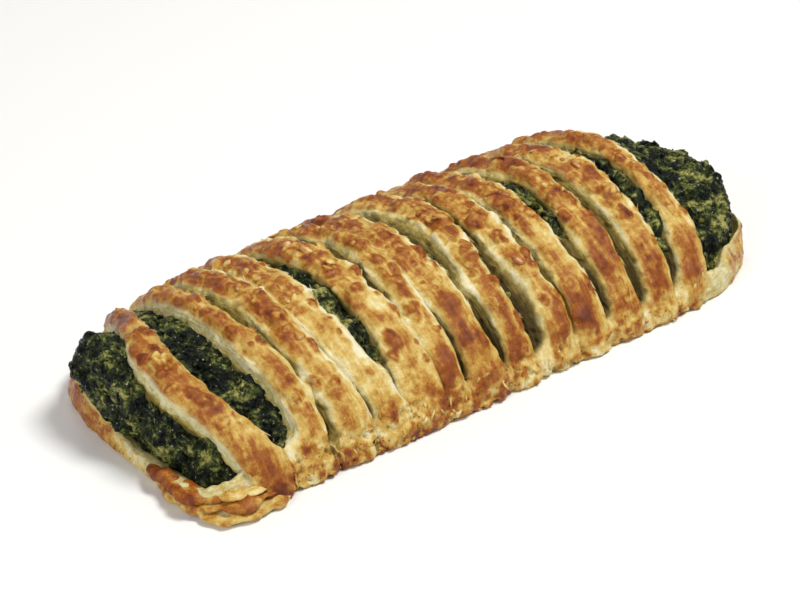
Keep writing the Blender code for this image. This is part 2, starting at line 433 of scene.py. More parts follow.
def slat_section(number, angle):
    """X and depth at each ring and column, and the left and right edge of the top at each ring."""
    left = slat_edge(number, 0, angle)
    right = slat_edge(number, 1, angle)
    floor_before, shows = slit_floor(number - 1, angle)
    floor_after, _ = slit_floor(number, angle)
    lean = SPINACH_LEANS_MM.get(number, LEAN_MM) * MM
    steep = left - lean * np.minimum(1.0, floor_before / SPINACH_DEPTH)
    under = slat_edge(number - 1, 1, angle) - LAP if number else steep
    bottom = under + (steep - under) * shows
    run = left - bottom
    width = right - left
    crown = CROWN * (0.45 + 0.55 * ease(0.0, 3 * MM, floor_before))
    drop = ease(0.0, 2.5 * MM, floor_after)
    full = np.full_like(angle, UNDER_DEPTH)
    corners = (
        (bottom - 0.2 * MM, floor_before + 0.7 * MM),
        (bottom, floor_before),
        (left - 0.76 * run, SKIN_STEP + 0.85 * (floor_before - SKIN_STEP)),
        (left - 0.50 * run, SKIN_STEP + 0.60 * (floor_before - SKIN_STEP)),
        (left - 0.25 * run, SKIN_STEP + 0.32 * (floor_before - SKIN_STEP)),
        (left - 0.06 * run, SKIN_STEP + 0.09 * (floor_before - SKIN_STEP)),
        (left + 0.06 * width, np.full_like(angle, 0.02 * MM)),
        (left + 0.20 * width, -0.70 * crown),
        (left + 0.38 * width, -crown),
        (left + 0.60 * width, -0.95 * crown),
        (left + 0.80 * width, -0.50 * crown),
        (right - 0.40 * MM, 0.10 * MM * drop),
        (right, 0.12 * MM + 0.55 * MM * drop),
        (right - 0.25 * MM * drop, 0.5 * floor_after + 0.5 * MM),
        (right - 0.60 * MM * drop, floor_after + 1.1 * MM),
        (right - 1.0 * MM, full),
        ((left + right) / 2, full),
        (left + 0.5 * MM, full),
    )
    along = np.stack([corner[0] for corner in corners], 1) @ SLAT_SPREAD
    depth = np.stack([corner[1] for corner in corners], 1) @ SLAT_SPREAD
    return along, depth, left, right


_section = slat_section(7, turns(5))
print("slat 8 is", (1000 * (_section[3] - _section[2])).round(1), "mm wide at five angles")

# %% [markdown]
# ## Baked spots
# Grated cheese melted on the slats and browned into blisters, and the egg wash browned in patches. The
# ones that stand out are listed: place along the loaf, angle, half width, half length, how far they
# rise, how brown they are and how pale their middle is. The rest are scattered by a seeded draw.

# %% Spots that stand out
SPOTS = (
    # First slat
    (-79.6, 96, 5.0, 13.0, 0.0, 0.66, 0), (-80.3, 62, 3.6, 8.5, 0.0, 0.74, 0),
    (-80.4, 75, 2.9, 2.6, 1.3, 0.42, 0.5), (-78.2, 53, 2.2, 2.4, 0.8, 0.74, 0.3),
    (-79.6, 57, 1.6, 1.8, 0.6, 0.8, 0.1), (-82.8, 80, 1.2, 1.4, 0.4, 0.95, 0),
    (-75.8, 35, 2.0, 3.4, 0.0, 0.60, 0), (-74.0, 44, 1.2, 1.4, 0.4, 0.6, 0.3),
    (-77.6, 43, 2.4, 1.8, 0.2, 0.52, 0.4),
    # Second slat
    (-62.0, 90, 1.3, 1.8, 0.5, 0.72, 0.5), (-60.5, 82, 1.4, 1.6, 0.5, 0.80, 0.1),
    (-61.8, 74, 1.4, 2.6, 0.6, 0.75, 0.1), (-57.8, 66, 0.9, 1.3, 0.6, 0.95, 0),
    (-56.8, 71, 0.9, 1.6, 0.5, 0.80, 0), (-60.8, 90, 2.3, 12.0, 0.0, 0.60, 0),
    (-60.9, 60, 1.3, 8.0, 0.0, 0.52, 0), (-58.0, 47, 1.0, 1.7, 0.4, 0.60, 0),
    (-57.0, 36, 1.4, 1.9, 0.2, 0.72, 0),
    # Third slat
    (-52.6, 43.5, 2.0, 2.4, 0.6, 0.70, 0), (-50.0, 72, 2.6, 3.4, 0.9, 0.85, 0.8),
    (-48.5, 97, 1.1, 2.2, 0.5, 0.85, 0), (-48.0, 86, 1.1, 2.2, 0.5, 0.85, 0),
    (-50.5, 94, 2.4, 7.0, 0.0, 0.60, 0), (-47.5, 39, 1.9, 5.0, 0.0, 0.55, 0),
    (-47.6, 55, 1.3, 5.0, 0.0, 0.44, 0),
    # Fourth slat
    (-41.8, 80, 2.3, 2.6, 0.5, 0.72, 0.2), (-43.0, 97, 2.4, 3.6, 0.2, 0.48, 0.3),
    (-40.0, 56, 1.0, 1.4, 0.3, 0.70, 0), (-39.3, 100, 1.4, 4.0, 0.2, 0.62, 0),
    (-39.0, 38, 1.2, 2.0, 0.1, 0.50, 0),
    # Fifth slat
    (-28.0, 94, 1.9, 2.2, 0.6, 0.62, 0.9), (-30.0, 82, 1.6, 1.8, 0.5, 0.72, 0.5),
    (-24.7, 76, 1.2, 2.0, 0.9, 0.82, 0.2), (-24.0, 55, 1.4, 2.6, 0.5, 0.68, 0.2),
    (-29.2, 45, 2.0, 3.6, 0.3, 0.85, 0), (-24.0, 41, 0.9, 1.1, 0.4, 0.75, 0.3),
    (-24.0, 34, 1.0, 1.3, 0.5, 0.78, 0.4), (-29.0, 97, 3.2, 8.0, 0.0, 0.58, 0),
    (-28.0, 67, 2.6, 7.0, 0.0, 0.34, 0),
    # Sixth slat
    (-19.3, 53.5, 2.4, 1.9, 0.7, 0.72, 0.2), (-16.8, 88, 2.0, 3.2, 0.7, 0.66, 0.3),
    (-17.6, 78, 1.7, 2.8, 0.7, 0.75, 0.1), (-16.0, 70, 1.4, 2.5, 0.6, 0.70, 0.1),
    (-17.5, 66, 1.1, 1.4, 0.7, 0.82, 0), (-17.5, 42, 1.1, 1.2, 0.3, 0.68, 0),
    (-14.5, 80, 1.4, 3.0, 0.5, 0.50, 0.7), (-17.0, 100, 2.2, 5.0, 0.3, 0.60, 0.3),
    # Seventh slat
    (-10.5, 75.5, 1.7, 2.2, 0.6, 0.72, 0.6), (-6.6, 73.5, 1.5, 2.5, 0.9, 0.86, 0),
    (-9.0, 88, 1.6, 2.4, 0.6, 0.78, 0.1), (-9.5, 61, 1.0, 1.4, 0.4, 0.70, 0),
    (-7.4, 34, 2.1, 4.0, 0.2, 0.84, 0), (-9.4, 24, 4.2, 4.2, 0.0, 0.68, 0),
    (-7.0, 60, 2.2, 4.0, 0.3, 0.46, 0.3), (-5.8, 66, 0.8, 2.2, 0.4, 0.75, 0),
    (-8.0, 97, 2.4, 5.0, 0.2, 0.60, 0.2),
    # Eighth slat
    (5.6, 84, 2.2, 3.0, 0.6, 0.78, 0.6), (3.0, 65.5, 1.3, 1.6, 0.5, 0.75, 0.6),
    (3.2, 61, 1.2, 1.4, 0.5, 0.78, 0.4), (1.2, 56, 1.1, 1.2, 0.4, 0.70, 0.1),
    (4.2, 50, 1.5, 2.1, 0.7, 0.80, 0.5), (0.5, 43, 0.8, 1.4, 0.2, 0.60, 0),
    (4.6, 33, 1.4, 3.2, 0.5, 0.82, 0), (3.0, 21.5, 1.2, 1.2, 0.2, 0.80, 0),
    (6.0, 97, 3.0, 5.0, 0.2, 0.66, 0.1),
    # Ninth slat
    (12.6, 76, 2.1, 2.8, 1.1, 0.90, 0), (15.0, 77, 2.0, 2.6, 1.0, 0.50, 0.8),
    (14.2, 66, 1.9, 2.2, 0.6, 0.78, 0.4), (15.2, 63, 1.0, 1.2, 0.5, 0.90, 0),
    (16.8, 55.5, 1.3, 1.8, 0.5, 0.78, 0.3), (15.8, 52, 1.0, 1.4, 0.4, 0.80, 0.1),
    (14.0, 36.5, 1.3, 2.2, 0.2, 0.66, 0), (17.0, 30, 0.9, 1.1, 0.3, 0.75, 0),
    (18.0, 36, 0.8, 1.3, 0.2, 0.65, 0), (15.0, 92, 2.6, 5.0, 0.3, 0.60, 0.2),
    # Tenth slat
    (23.9, 76, 1.4, 2.2, 0.6, 0.88, 0), (27.3, 69, 1.4, 3.4, 0.7, 0.82, 0.2),
    (28.6, 55.5, 0.9, 1.8, 0.3, 0.66, 0), (23.5, 37, 1.5, 2.2, 0.1, 0.60, 0),
    (28.2, 35, 1.2, 4.0, 0.4, 0.82, 0), (24.5, 90, 1.4, 1.8, 0.4, 0.66, 0.3),
    (25.0, 60, 2.2, 6.0, 0.0, 0.40, 0),
    # Eleventh slat
    (36.6, 73, 1.2, 1.8, 0.4, 0.72, 0), (39.8, 69, 2.1, 3.0, 0.8, 0.74, 0.3),
    (39.6, 56, 2.4, 6.0, 0.3, 0.70, 0), (38.4, 46, 2.1, 4.5, 0.4, 0.76, 0),
    (37.2, 28, 1.1, 3.8, 0.5, 0.70, 0), (38.5, 86, 2.6, 5.0, 0.2, 0.60, 0.1),
    (41.4, 60, 1.0, 4.0, 0.4, 0.72, 0),
    # Twelfth slat
    (47.4, 79, 1.4, 1.7, 0.4, 0.70, 0), (51.0, 64.5, 2.2, 4.0, 0.8, 0.68, 0.2),
    (50.2, 54.5, 1.6, 2.6, 0.7, 0.95, 0), (53.6, 54, 0.9, 1.1, 0.4, 0.70, 0),
    (54.4, 72, 0.9, 1.1, 0.4, 0.70, 0), (48.4, 36, 0.9, 3.6, 0.2, 0.82, 0),
    (51.3, 38, 1.8, 5.0, 0.0, 0.58, 0), (51.0, 90, 2.6, 6.0, 0.1, 0.46, 0.1),
    # Thirteenth slat
    (63.4, 78, 1.3, 2.0, 0.5, 0.72, 0), (64.0, 69, 1.1, 1.8, 0.5, 0.78, 0),
    (63.2, 53, 1.2, 7.5, 0.35, 0.58, 0), (60.4, 15, 3.0, 2.8, 0.0, 0.60, 0),
    (63.5, 96, 2.2, 5.0, 0.5, 0.70, 0),
    # Brown patches along the foot
    (-60.0, 15, 3.6, 2.8, 0.0, 0.66, 0), (-45.0, 12, 3.4, 2.2, 0.0, 0.60, 0),
    (-29.5, 14, 3.8, 3.6, 0.0, 0.60, 0), (22.4, 15, 2.0, 3.0, 0.0, 0.56, 0),
    (35.5, 15, 2.0, 2.6, 0.0, 0.52, 0), (48.0, 14, 2.2, 3.0, 0.0, 0.56, 0),
)
SCATTER_SEED = 61
SCATTER_PER_SLAT = 15


def scattered_spots():
    """Small blisters, most of them near the crest, on both sides of the loaf."""
    rng = np.random.default_rng(SCATTER_SEED)
    found = []
    for number in range(SLATS):
        for _ in range(SCATTER_PER_SLAT):
            angle = np.clip(rng.normal(98, 30), 40, 152)
            edges = [np.interp(angle, EDGE_ANGLES, side) for side in SLAT_EDGES_MM[number]]
            place = edges[0] + (edges[1] - edges[0]) * rng.uniform(0.05, 0.85)
            size = rng.uniform(0.55, 1.5)
            found.append((
                place, angle, size, size * rng.uniform(0.9, 1.8), rng.uniform(0.25, 0.6),
                rng.uniform(0.55, 0.85), rng.uniform(0.0, 0.7),
            ))
    return found


spots = np.array(list(SPOTS) + scattered_spots())
spots[:, [0, 2, 3, 4]] *= MM
spot_arc = arc_at(np.radians(spots[:, 1]))
print(f"{len(SPOTS)} spots by hand and {len(spots) - len(SPOTS)} scattered ones")

# %% [markdown]
# A spot with no rise only browns the dough. One that rises is a dome broken into small lumps, brown at
# its rim and paler in the middle, partly by its own colour and partly by painted shade at the rim and a
# painted highlight in the middle. Its outline is bent by grain, because no real blister is an ellipse.

# %% Effect of the spots
SPOT_BEND = 0.40 * MM
SPOT_BEND_SIZE = 1.8 * MM
LUMP_SIZE = 1.5 * MM
# How many half widths from its middle a spot still browns the dough
SPOT_REACH = 1.5


def baked_by_spots(points, arc):
    """Rise, browning, weight of the browning, and cheese at each point, from all the spots."""
    bent_x = points[:, 0] + SPOT_BEND * grain(points, SPOT_BEND_SIZE, 11)
    bent_arc = arc + SPOT_BEND * grain(points, SPOT_BEND_SIZE, 12)
    dome_map, _ = bubbles(np.stack([bent_x, bent_arc], 1), LUMP_SIZE, 13)
    lumps = 0.55 + 0.75 * dome_map
    rise, brown, weight, cheese = np.zeros((4, len(points)))
    for (x, _, half_x, half_arc, lift, tone, pale), middle in zip(spots, spot_arc):
        close_x = np.abs(bent_x - x) < SPOT_REACH * half_x
        close_arc = np.abs(bent_arc - middle) < SPOT_REACH * half_arc
        near = np.flatnonzero(close_x & close_arc)
        if not len(near):
            continue
        reach = np.hypot((bent_x[near] - x) / half_x, (bent_arc[near] - middle) / half_arc)
        if lift > 0:
            dome = np.sqrt(np.clip(1.0 - reach ** 2, 0.0, 1.0))
            rise[near] = np.maximum(rise[near], 1.25 * lift * dome * lumps[near])
            # Darker rim and paler middle: the cheese's own colour, with painted shade at the rim and a
            # painted highlight in the middle
            rim = np.exp(-((reach - 0.85) / 0.25) ** 2)
            here = 0.92 * (1.0 - ease(0.55, SPOT_REACH, reach))
            pale_middle_and_highlight = (0.02 + 0.26 * pale) * (1.0 - ease(0.15, 0.75, reach))
            value = 0.88 * tone + 0.02 * rim - pale_middle_and_highlight + 0.26 * (0.6 - dome_map[near])
            cheese[near] = np.maximum(cheese[near], 1.0 - ease(0.75, 1.1, reach))
        else:
            here = 0.65 * (1.0 - ease(0.25, 1.45, reach))
            value = np.full(len(near), 0.95 * tone)
        brown[near] = brown[near] * (1 - here) + value * here
        weight[near] = 1.0 - (1.0 - weight[near]) * (1.0 - here)
    return rise, brown, weight, cheese


_turn = np.radians([75.0])
_rise = baked_by_spots(skin(np.array([-80.4 * MM]), _turn, np.zeros(1)), arc_at(_turn))
print("rise at the first big lump, in mm:", (1000 * _rise[0]).round(2))

# %% [markdown]
# ## The surface of the dough
# The tops puff up unevenly, the cut walls show their thin layers as fine ridges that run along the
# slat, and the whole foot of the loaf is crumbly and pitted. These three kinds of relief are mixed by
# masks: a wall mask from how far under the edge a point lies, and a foot mask from the angle.

# %% Relief and colour fields of the dough
FOOT_TOP = math.radians(19)


def foot_share(angle, sway=0.0):
    """1 on the crumbly foot of the loaf, 0 above it, on both sides."""
    from_foot = np.minimum(angle, math.pi - angle) + sway
    return 1.0 - ease(0.55 * FOOT_TOP, 1.35 * FOOT_TOP, from_foot)


def dough_relief(points, arc, depth, wall, foot):
    """How far each point of the dough moves out of its smooth shape."""
    top = 0.55 * MM * grain(points, 6 * MM, 21) + 0.32 * MM * grain(points, 2.6 * MM, 22)
    top = top + 0.12 * MM * grain(points, 1.1 * MM, 23)
    streaked = np.stack([points[:, 0] + 0.2 * grain(points, 6 * MM, 30) * MM, arc / 9.0, 0 * arc], 1)
    top = top + 0.17 * MM * grain(streaked, 1.3 * MM, 29) * (1 - foot)
    layered = np.stack([arc / 9.0, 0.4 * points[:, 0], depth / 0.75], 1)
    fibres = np.stack([arc / 6.0, 0.6 * points[:, 0], depth / 0.30], 1)
    layers = 0.26 * MM * grain(layered, MM, 24, octaves=2) + 0.34 * MM * grain(points, 3.0 * MM, 25)
    layers = layers + 0.15 * MM * grain(fibres, MM, 45, octaves=2)
    layers = layers - 0.45 * MM * ease(0.20, 0.70, grain(points * (1.0, 0.7, 0.7), 1.3 * MM, 48))
    layers = layers * (1 - 0.6 * ease(3.6 * MM, 5.6 * MM, depth))
    crumbs = 0.40 * MM * grain(points, 1.9 * MM, 26, octaves=3)
    pits = -0.75 * MM * ease(0.25, 0.65, grain(points, 1.6 * MM, 27))
    creases = -0.80 * MM * ease(0.25, 0.80, grain(points * (1.4, 0.6, 0.6), 3.2 * MM, 28))
    relief = top * (1 - wall) + layers * wall
    return relief + foot * (crumbs + pits + creases)


TABLE_GAP = 0.15 * MM


def above_table(grid):
    grid[..., 2] = np.maximum(grid[..., 2], TABLE_GAP)
    return grid


_probe = skin(np.full(5, 0.0), np.linspace(0.1, 1.5, 5), np.zeros(5))
_probe_relief = dough_relief(_probe, arc_at(np.linspace(0.1, 1.5, 5)), np.zeros(5), 0.0, 0.0)
print("relief of five points, in mm:", (1000 * _probe_relief).round(2))

# %% [markdown]
# ## Laying the slats
# Each slat is a copy of the bar, laid over the arch. The relief pushes its points in or out along the
# normals, and six fields are stored with the mesh for the dough's material: how brown it is, how much
# of a cut wall it is, how deep it lies beside the spinach (which the material turns into an olive stain
# and painted shade), where there is cheese, where the crumbly foot is, and where each point lies along,
# across and under its strip.

# %% Lay one slat
CREST_DROP = 1.4 * MM
# How brown the dough is by the angle round the arch
BAKE_BY_ANGLE = (
    (0, 0.50), (8, 0.46), (18, 0.37), (30, 0.34), (50, 0.34), (62, 0.43), (76, 0.52), (90, 0.56),
    (125, 0.55), (150, 0.42), (180, 0.46),
)
SLAT_TONE = (0.20, 0.03, 0.02, -0.05, -0.02, 0.0, 0.02, 0.0, 0.0, 0.0, 0.07, 0.05, -0.02)
# How much browner each slat is low down, and how much lower its crumbly foot ends, in degrees
LOW_TONE = (0.0, 0.02, 0.0, 0.0, 0.04, 0.08, 0.15, 0.11, 0.12, 0.12, 0.13, 0.12, 0.08)
FOOT_SWAY = (0, -1, -3, -3, -2, 0, 3, 3, 4, 4, 5, 6, 6)
# How much paler the right edge of each slat is than its left: less baked dough, with a painted
# highlight
PALE_EDGE = (0.06, 0.18, 0.34, 0.30, 0.30, 0.34, 0.34, 0.38, 0.40, 0.34, 0.34, 0.34, 0.38)
# How thickly melted cheese crusts the dough, by the angle and by the slat
CRUST_BY_ANGLE = (
    (0, 0.0), (44, 0.0), (58, 0.45), (74, 1.0), (128, 1.0), (150, 0.3), (160, 0.0), (180, 0.0),
)
SLAT_CRUST = (0.08, 0.6, 0.9, 0.9, 1.0, 1.0, 1.0, 0.9, 0.9, 0.9, 0.8, 0.7, 0.7)
# How soon the cut face of each slat turns olive and dark with depth, as stain and painted shade: the
# first two stay pale
FACE_DEEP = (0.16, 0.30, 1.20, 1.00, 1.50, 1.60, 1.70, 1.30, 1.50, 1.40, 1.50, 1.40, 1.40)
# How much darker the cut walls are painted low on the arch, for shade
LOW_WALL_SHADE = (0.0, 0.0, 0.15, 0.20, 0.30, 0.35, 0.50, 0.50, 0.50, 0.50, 0.50, 0.45, 0.40)
slat_grids = []


def slat_tone(number, points, arc, degrees, across, foot):
    """How brown each point of a slat is, before its spots and blisters."""
    tone = np.interp(degrees, *zip(*BAKE_BY_ANGLE)) + SLAT_TONE[number]
    tone += 0.10 * grain(points, 6 * MM, 31) + 0.09 * grain(points, 2.4 * MM, 32)
    coarse = grain(points * (1.3, 0.7, 0.7), 3.5 * MM, 33)
    tone += foot * (0.26 * coarse + 0.26 * grain(points, 1.4 * MM, 44) - 0.05)
    tone += LOW_TONE[number] * np.interp(degrees, (0, 9, 19, 36, 60), (-1.0, -1.0, 2.2, 2.2, 0.0))
    tone += foot * np.interp(number, (0, 4, 8, SLATS), (0.12, 0.10, 0.06, 0.0))
    line = np.stack([arc, 0 * arc, 0 * arc + number], 1)
    stripe = np.exp(-((across - 0.34 - 0.15 * grain(line, 9 * MM, 42)) / 0.26) ** 2)
    # Paler right edge: partly less baked dough, partly a painted highlight
    paler = PALE_EDGE[number] * ease(0.60, 0.95, across)
    paler = paler * np.interp(degrees, (20, 36, 54), (0.35, 0.5, 1.0))
    tone += (1 - foot) * (0.24 * stripe - paler - 0.11)
    return tone - 0.30 * (1 - foot) * ease(0.0, 0.16, -across)


def crest_blisters(number, points, arc, degrees):
    """Share of crust at each point, and the large and the small domes on a map of the slat."""
    crusty = np.interp(degrees, *zip(*CRUST_BY_ANGLE)) * SLAT_CRUST[number]
    crusty = crusty * ease(-0.35, 0.35, grain(points, 4 * MM, 36) + 0.8 * crusty - 0.55)
    sway = np.stack([grain(points, 2.4 * MM, 37), grain(points, 2.4 * MM, 38)], 1)
    flat_map = np.stack([points[:, 0], 0.8 * arc], 1) + 1.0 * MM * sway
    return crusty, bubbles(flat_map, 3.3 * MM, 39), bubbles(flat_map, 1.5 * MM, 43)


def lay_slat(number):
    angle = turns(SLAT_RINGS)
    along, depth, left, right = slat_section(number, angle)
    round_arch = on_columns(angle, SLAT_COLUMNS)
    from_foot = np.minimum(round_arch, math.pi - round_arch)
    tuck = 0.9 * MM * (1 - ease(0.0, math.radians(3.5), from_foot))
    tuck += CREST_DROP * ease(math.radians(25), math.radians(75), from_foot)
    grid = skin(along, round_arch, depth + tuck)
    normal = grid_normals(grid)
    points = grid.reshape(-1, 3)
    arc = arc_at(round_arch).ravel()
    across = ((along - left[:, None]) / (right - left)[:, None]).ravel()
    flat = depth.ravel()
    wall = ease(0.25 * MM, 2.0 * MM, flat + 0.45 * MM * grain(points, 2 * MM, 40, octaves=2))
    foot = foot_share(round_arch.ravel(), np.radians(FOOT_SWAY[number] + 6 * grain(points, 6 * MM, 46)))
    degrees = np.degrees(round_arch.ravel())
    rise, brown, weight, cheese = baked_by_spots(points, arc)
    open_top = (1 - wall) * (flat < UNDER_DEPTH - MM)
    crusty, (dome, lot), (small, small_lot) = crest_blisters(number, points, arc, degrees)
    domes = 1.05 * dome * (0.2 + 0.8 * lot) + 0.30 * small * small_lot
    rise = np.maximum(rise, MM * crusty * domes)
    cheese = np.maximum(cheese, crusty * ease(0.2, 0.5, dome))
    relief = dough_relief(points, arc, flat, wall, foot) + rise * open_top
    relief[flat > 6.6 * MM] = 0.0
    grid = above_table(grid + normal * relief.reshape(depth.shape)[..., None])
    tone = slat_tone(number, points, arc, degrees, across, foot)
    pale_dome = dome ** 2 * ease(0.45, 0.70, lot)
    brown_dome = dome * (1 - ease(0.2, 0.4, lot))
    tone += crusty * (0.08 * (1.0 - dome) - 0.26 * pale_dome + 0.16 * brown_dome + 0.10 * (0.5 - small))
    bake = tone * (1 - weight) + brown * weight
    bake += 0.22 * np.clip(relief / MM, -0.5, 0.5) * (1 - wall)
    # Cut walls turn olive and dark with depth: olive stain plus painted shade, darkest low and deep in
    # the slit
    deep = FACE_DEEP[number] * flat / (5 * MM) + LOW_WALL_SHADE[number] * (1 - ease(26, 50, degrees)) * wall
    deep += 0.58 * ease(3.1 * MM, 5.4 * MM, flat)
    shape = depth.shape
    strip = np.stack([arc.reshape(shape), along, depth], axis=-1)
    slat_grids.append((grid, round_arch, across.reshape(shape), depth))
    return shape_bar(
        slat_bar, f"slat_{number + 1:02d}", grid, slat_ring, slat_column,
        bake=np.clip(bake, 0, 1).reshape(shape), wall=wall.reshape(shape),
        deep=deep.reshape(shape), cheese=(cheese * open_top).reshape(shape),
        foot=foot.reshape(shape), strip=strip,
    )


slats = [lay_slat(number) for number in range(SLATS)]
bpy.data.objects.remove(slat_bar)
print(f"{len(slats)} slats, {sum(len(s.data.vertices) for s in slats)} points")

# %% [markdown]
# ## The rims round both ends
# At each end the sheet of dough turns up into a lip that holds the spinach. It is a wall that follows
# the footprint round the end and runs in under the outer slats on both long sides. Its path is read
# from the footprint curve and cut into even steps, and its section is a thick rounded wall.

# %% Path round an end
NEAR_RIGHT_CUT = 0.06


def end_path(sign, near_from, far_to, count):
    """Even steps along the footprint round one end, clockwise seen from above."""
    near_x = sign * np.linspace(abs(near_from), HALF_LENGTH, 4000)
    far_x = sign * np.linspace(HALF_LENGTH, abs(far_to), 4000)
    near = np.stack([near_x, -HALF_WIDTH * footprint(near_x, np.zeros_like(near_x))], 1)
    far = np.stack([far_x, HALF_WIDTH * footprint(far_x, np.full_like(far_x, math.pi))], 1)
    if sign > 0:
        near[:, 1] *= 1 - NEAR_RIGHT_CUT * ease(0.74, 0.97, near_x / HALF_LENGTH)
    line = np.concatenate([near, far])
    if sign > 0:
        line = line[::-1]
    length = np.concatenate([[0.0], np.cumsum(np.linalg.norm(np.diff(line, axis=0), axis=1))])
    even = np.linspace(0.0, length[-1], count)
    path = np.stack([np.interp(even, length, line[:, i]) for i in (0, 1)], 1)
    for _ in range(6):
        path[1:-1] = 0.25 * path[:-2] + 0.5 * path[1:-1] + 0.25 * path[2:]
    step = np.gradient(path, axis=0)
    return path, unit(np.stack([-step[:, 1], step[:, 0]], 1)), even


def swept(path, out, outward, height):
    """A grid along a path on the table, from how far out and how high each of its points is."""
    flat = path[:, None, :] + outward[..., None] * out[:, None, :]
    return np.concatenate([flat, height[..., None]], axis=2)


RIM_RINGS = 381
RIM_COLUMNS = 56
left_path, left_out, left_run = end_path(-1, -66 * MM, -54 * MM, RIM_RINGS)
right_path, right_out, right_run = end_path(1, 60 * MM, 54 * MM, RIM_RINGS)
print(f"rims run {1000 * left_run[-1]:.0f} mm and {1000 * right_run[-1]:.0f} mm round the ends")

# %% [markdown]
# A rim isn't the same all the way round. A short table says, at some shares of the way, how high and
# thick the lip is, how far it leans out and how brown it is. In between, the values run on smoothly.

# %% Lay a rim
RIM_CORNERS = (0, 5, 8, 12, 17, 22, 26, 30, 35, 40, 45, 50)
RIM_SPREAD = spread_matrix(RIM_CORNERS, RIM_COLUMNS, 2)
# Share of the way round, height of the lip, its thickness, how far it leans out and how baked it is
LEFT_RIM_MM = (
    (0.00, 9.0, 3.4, -0.9, 0.46), (0.08, 8.4, 3.4, -0.9, 0.46), (0.15, 7.0, 3.6, -0.7, 0.46),
    (0.24, 5.0, 4.4, -0.3, 0.40), (0.33, 4.2, 4.6, 0.2, 0.30), (0.42, 4.4, 4.2, 0.0, 0.33),
    (0.50, 5.4, 2.8, -0.2, 0.48), (0.57, 7.6, 1.8, 0.2, 0.58), (0.64, 9.4, 1.6, 0.4, 0.64),
    (0.74, 9.4, 1.8, 0.2, 0.60), (0.86, 9.0, 2.8, 0.0, 0.50), (1.00, 9.0, 3.4, -0.8, 0.46),
)
RIGHT_RIM_MM = (
    (0.00, 8.8, 3.2, -0.8, 0.46), (0.15, 9.0, 2.6, 0.0, 0.50), (0.30, 8.4, 2.2, 0.0, 0.56),
    (0.50, 8.0, 2.0, -0.4, 0.56), (0.64, 9.4, 1.6, 0.4, 0.56), (0.72, 10.8, 1.6, 1.3, 0.60),
    (0.79, 9.8, 1.8, 0.2, 0.52), (0.85, 8.6, 2.0, -0.8, 0.40), (0.90, 6.8, 2.4, -0.9, 0.26),
    (0.95, 6.4, 2.6, -0.9, 0.14), (1.00, 8.6, 3.2, -0.9, 0.30),
)
RIM_SOFTEN = 0.03
# Stretches where the cut edge of the sheet shows pale on the outside: start, stop, share of the height
LEFT_CUT = (0.05, 0.49, 0.56)
RIGHT_CUT = (0.80, 0.99, 0.30)
CUT_FADE = 0.12
rim_bar, rim_ring, rim_column = make_bar("rim_bar", RIM_RINGS, RIM_COLUMNS)


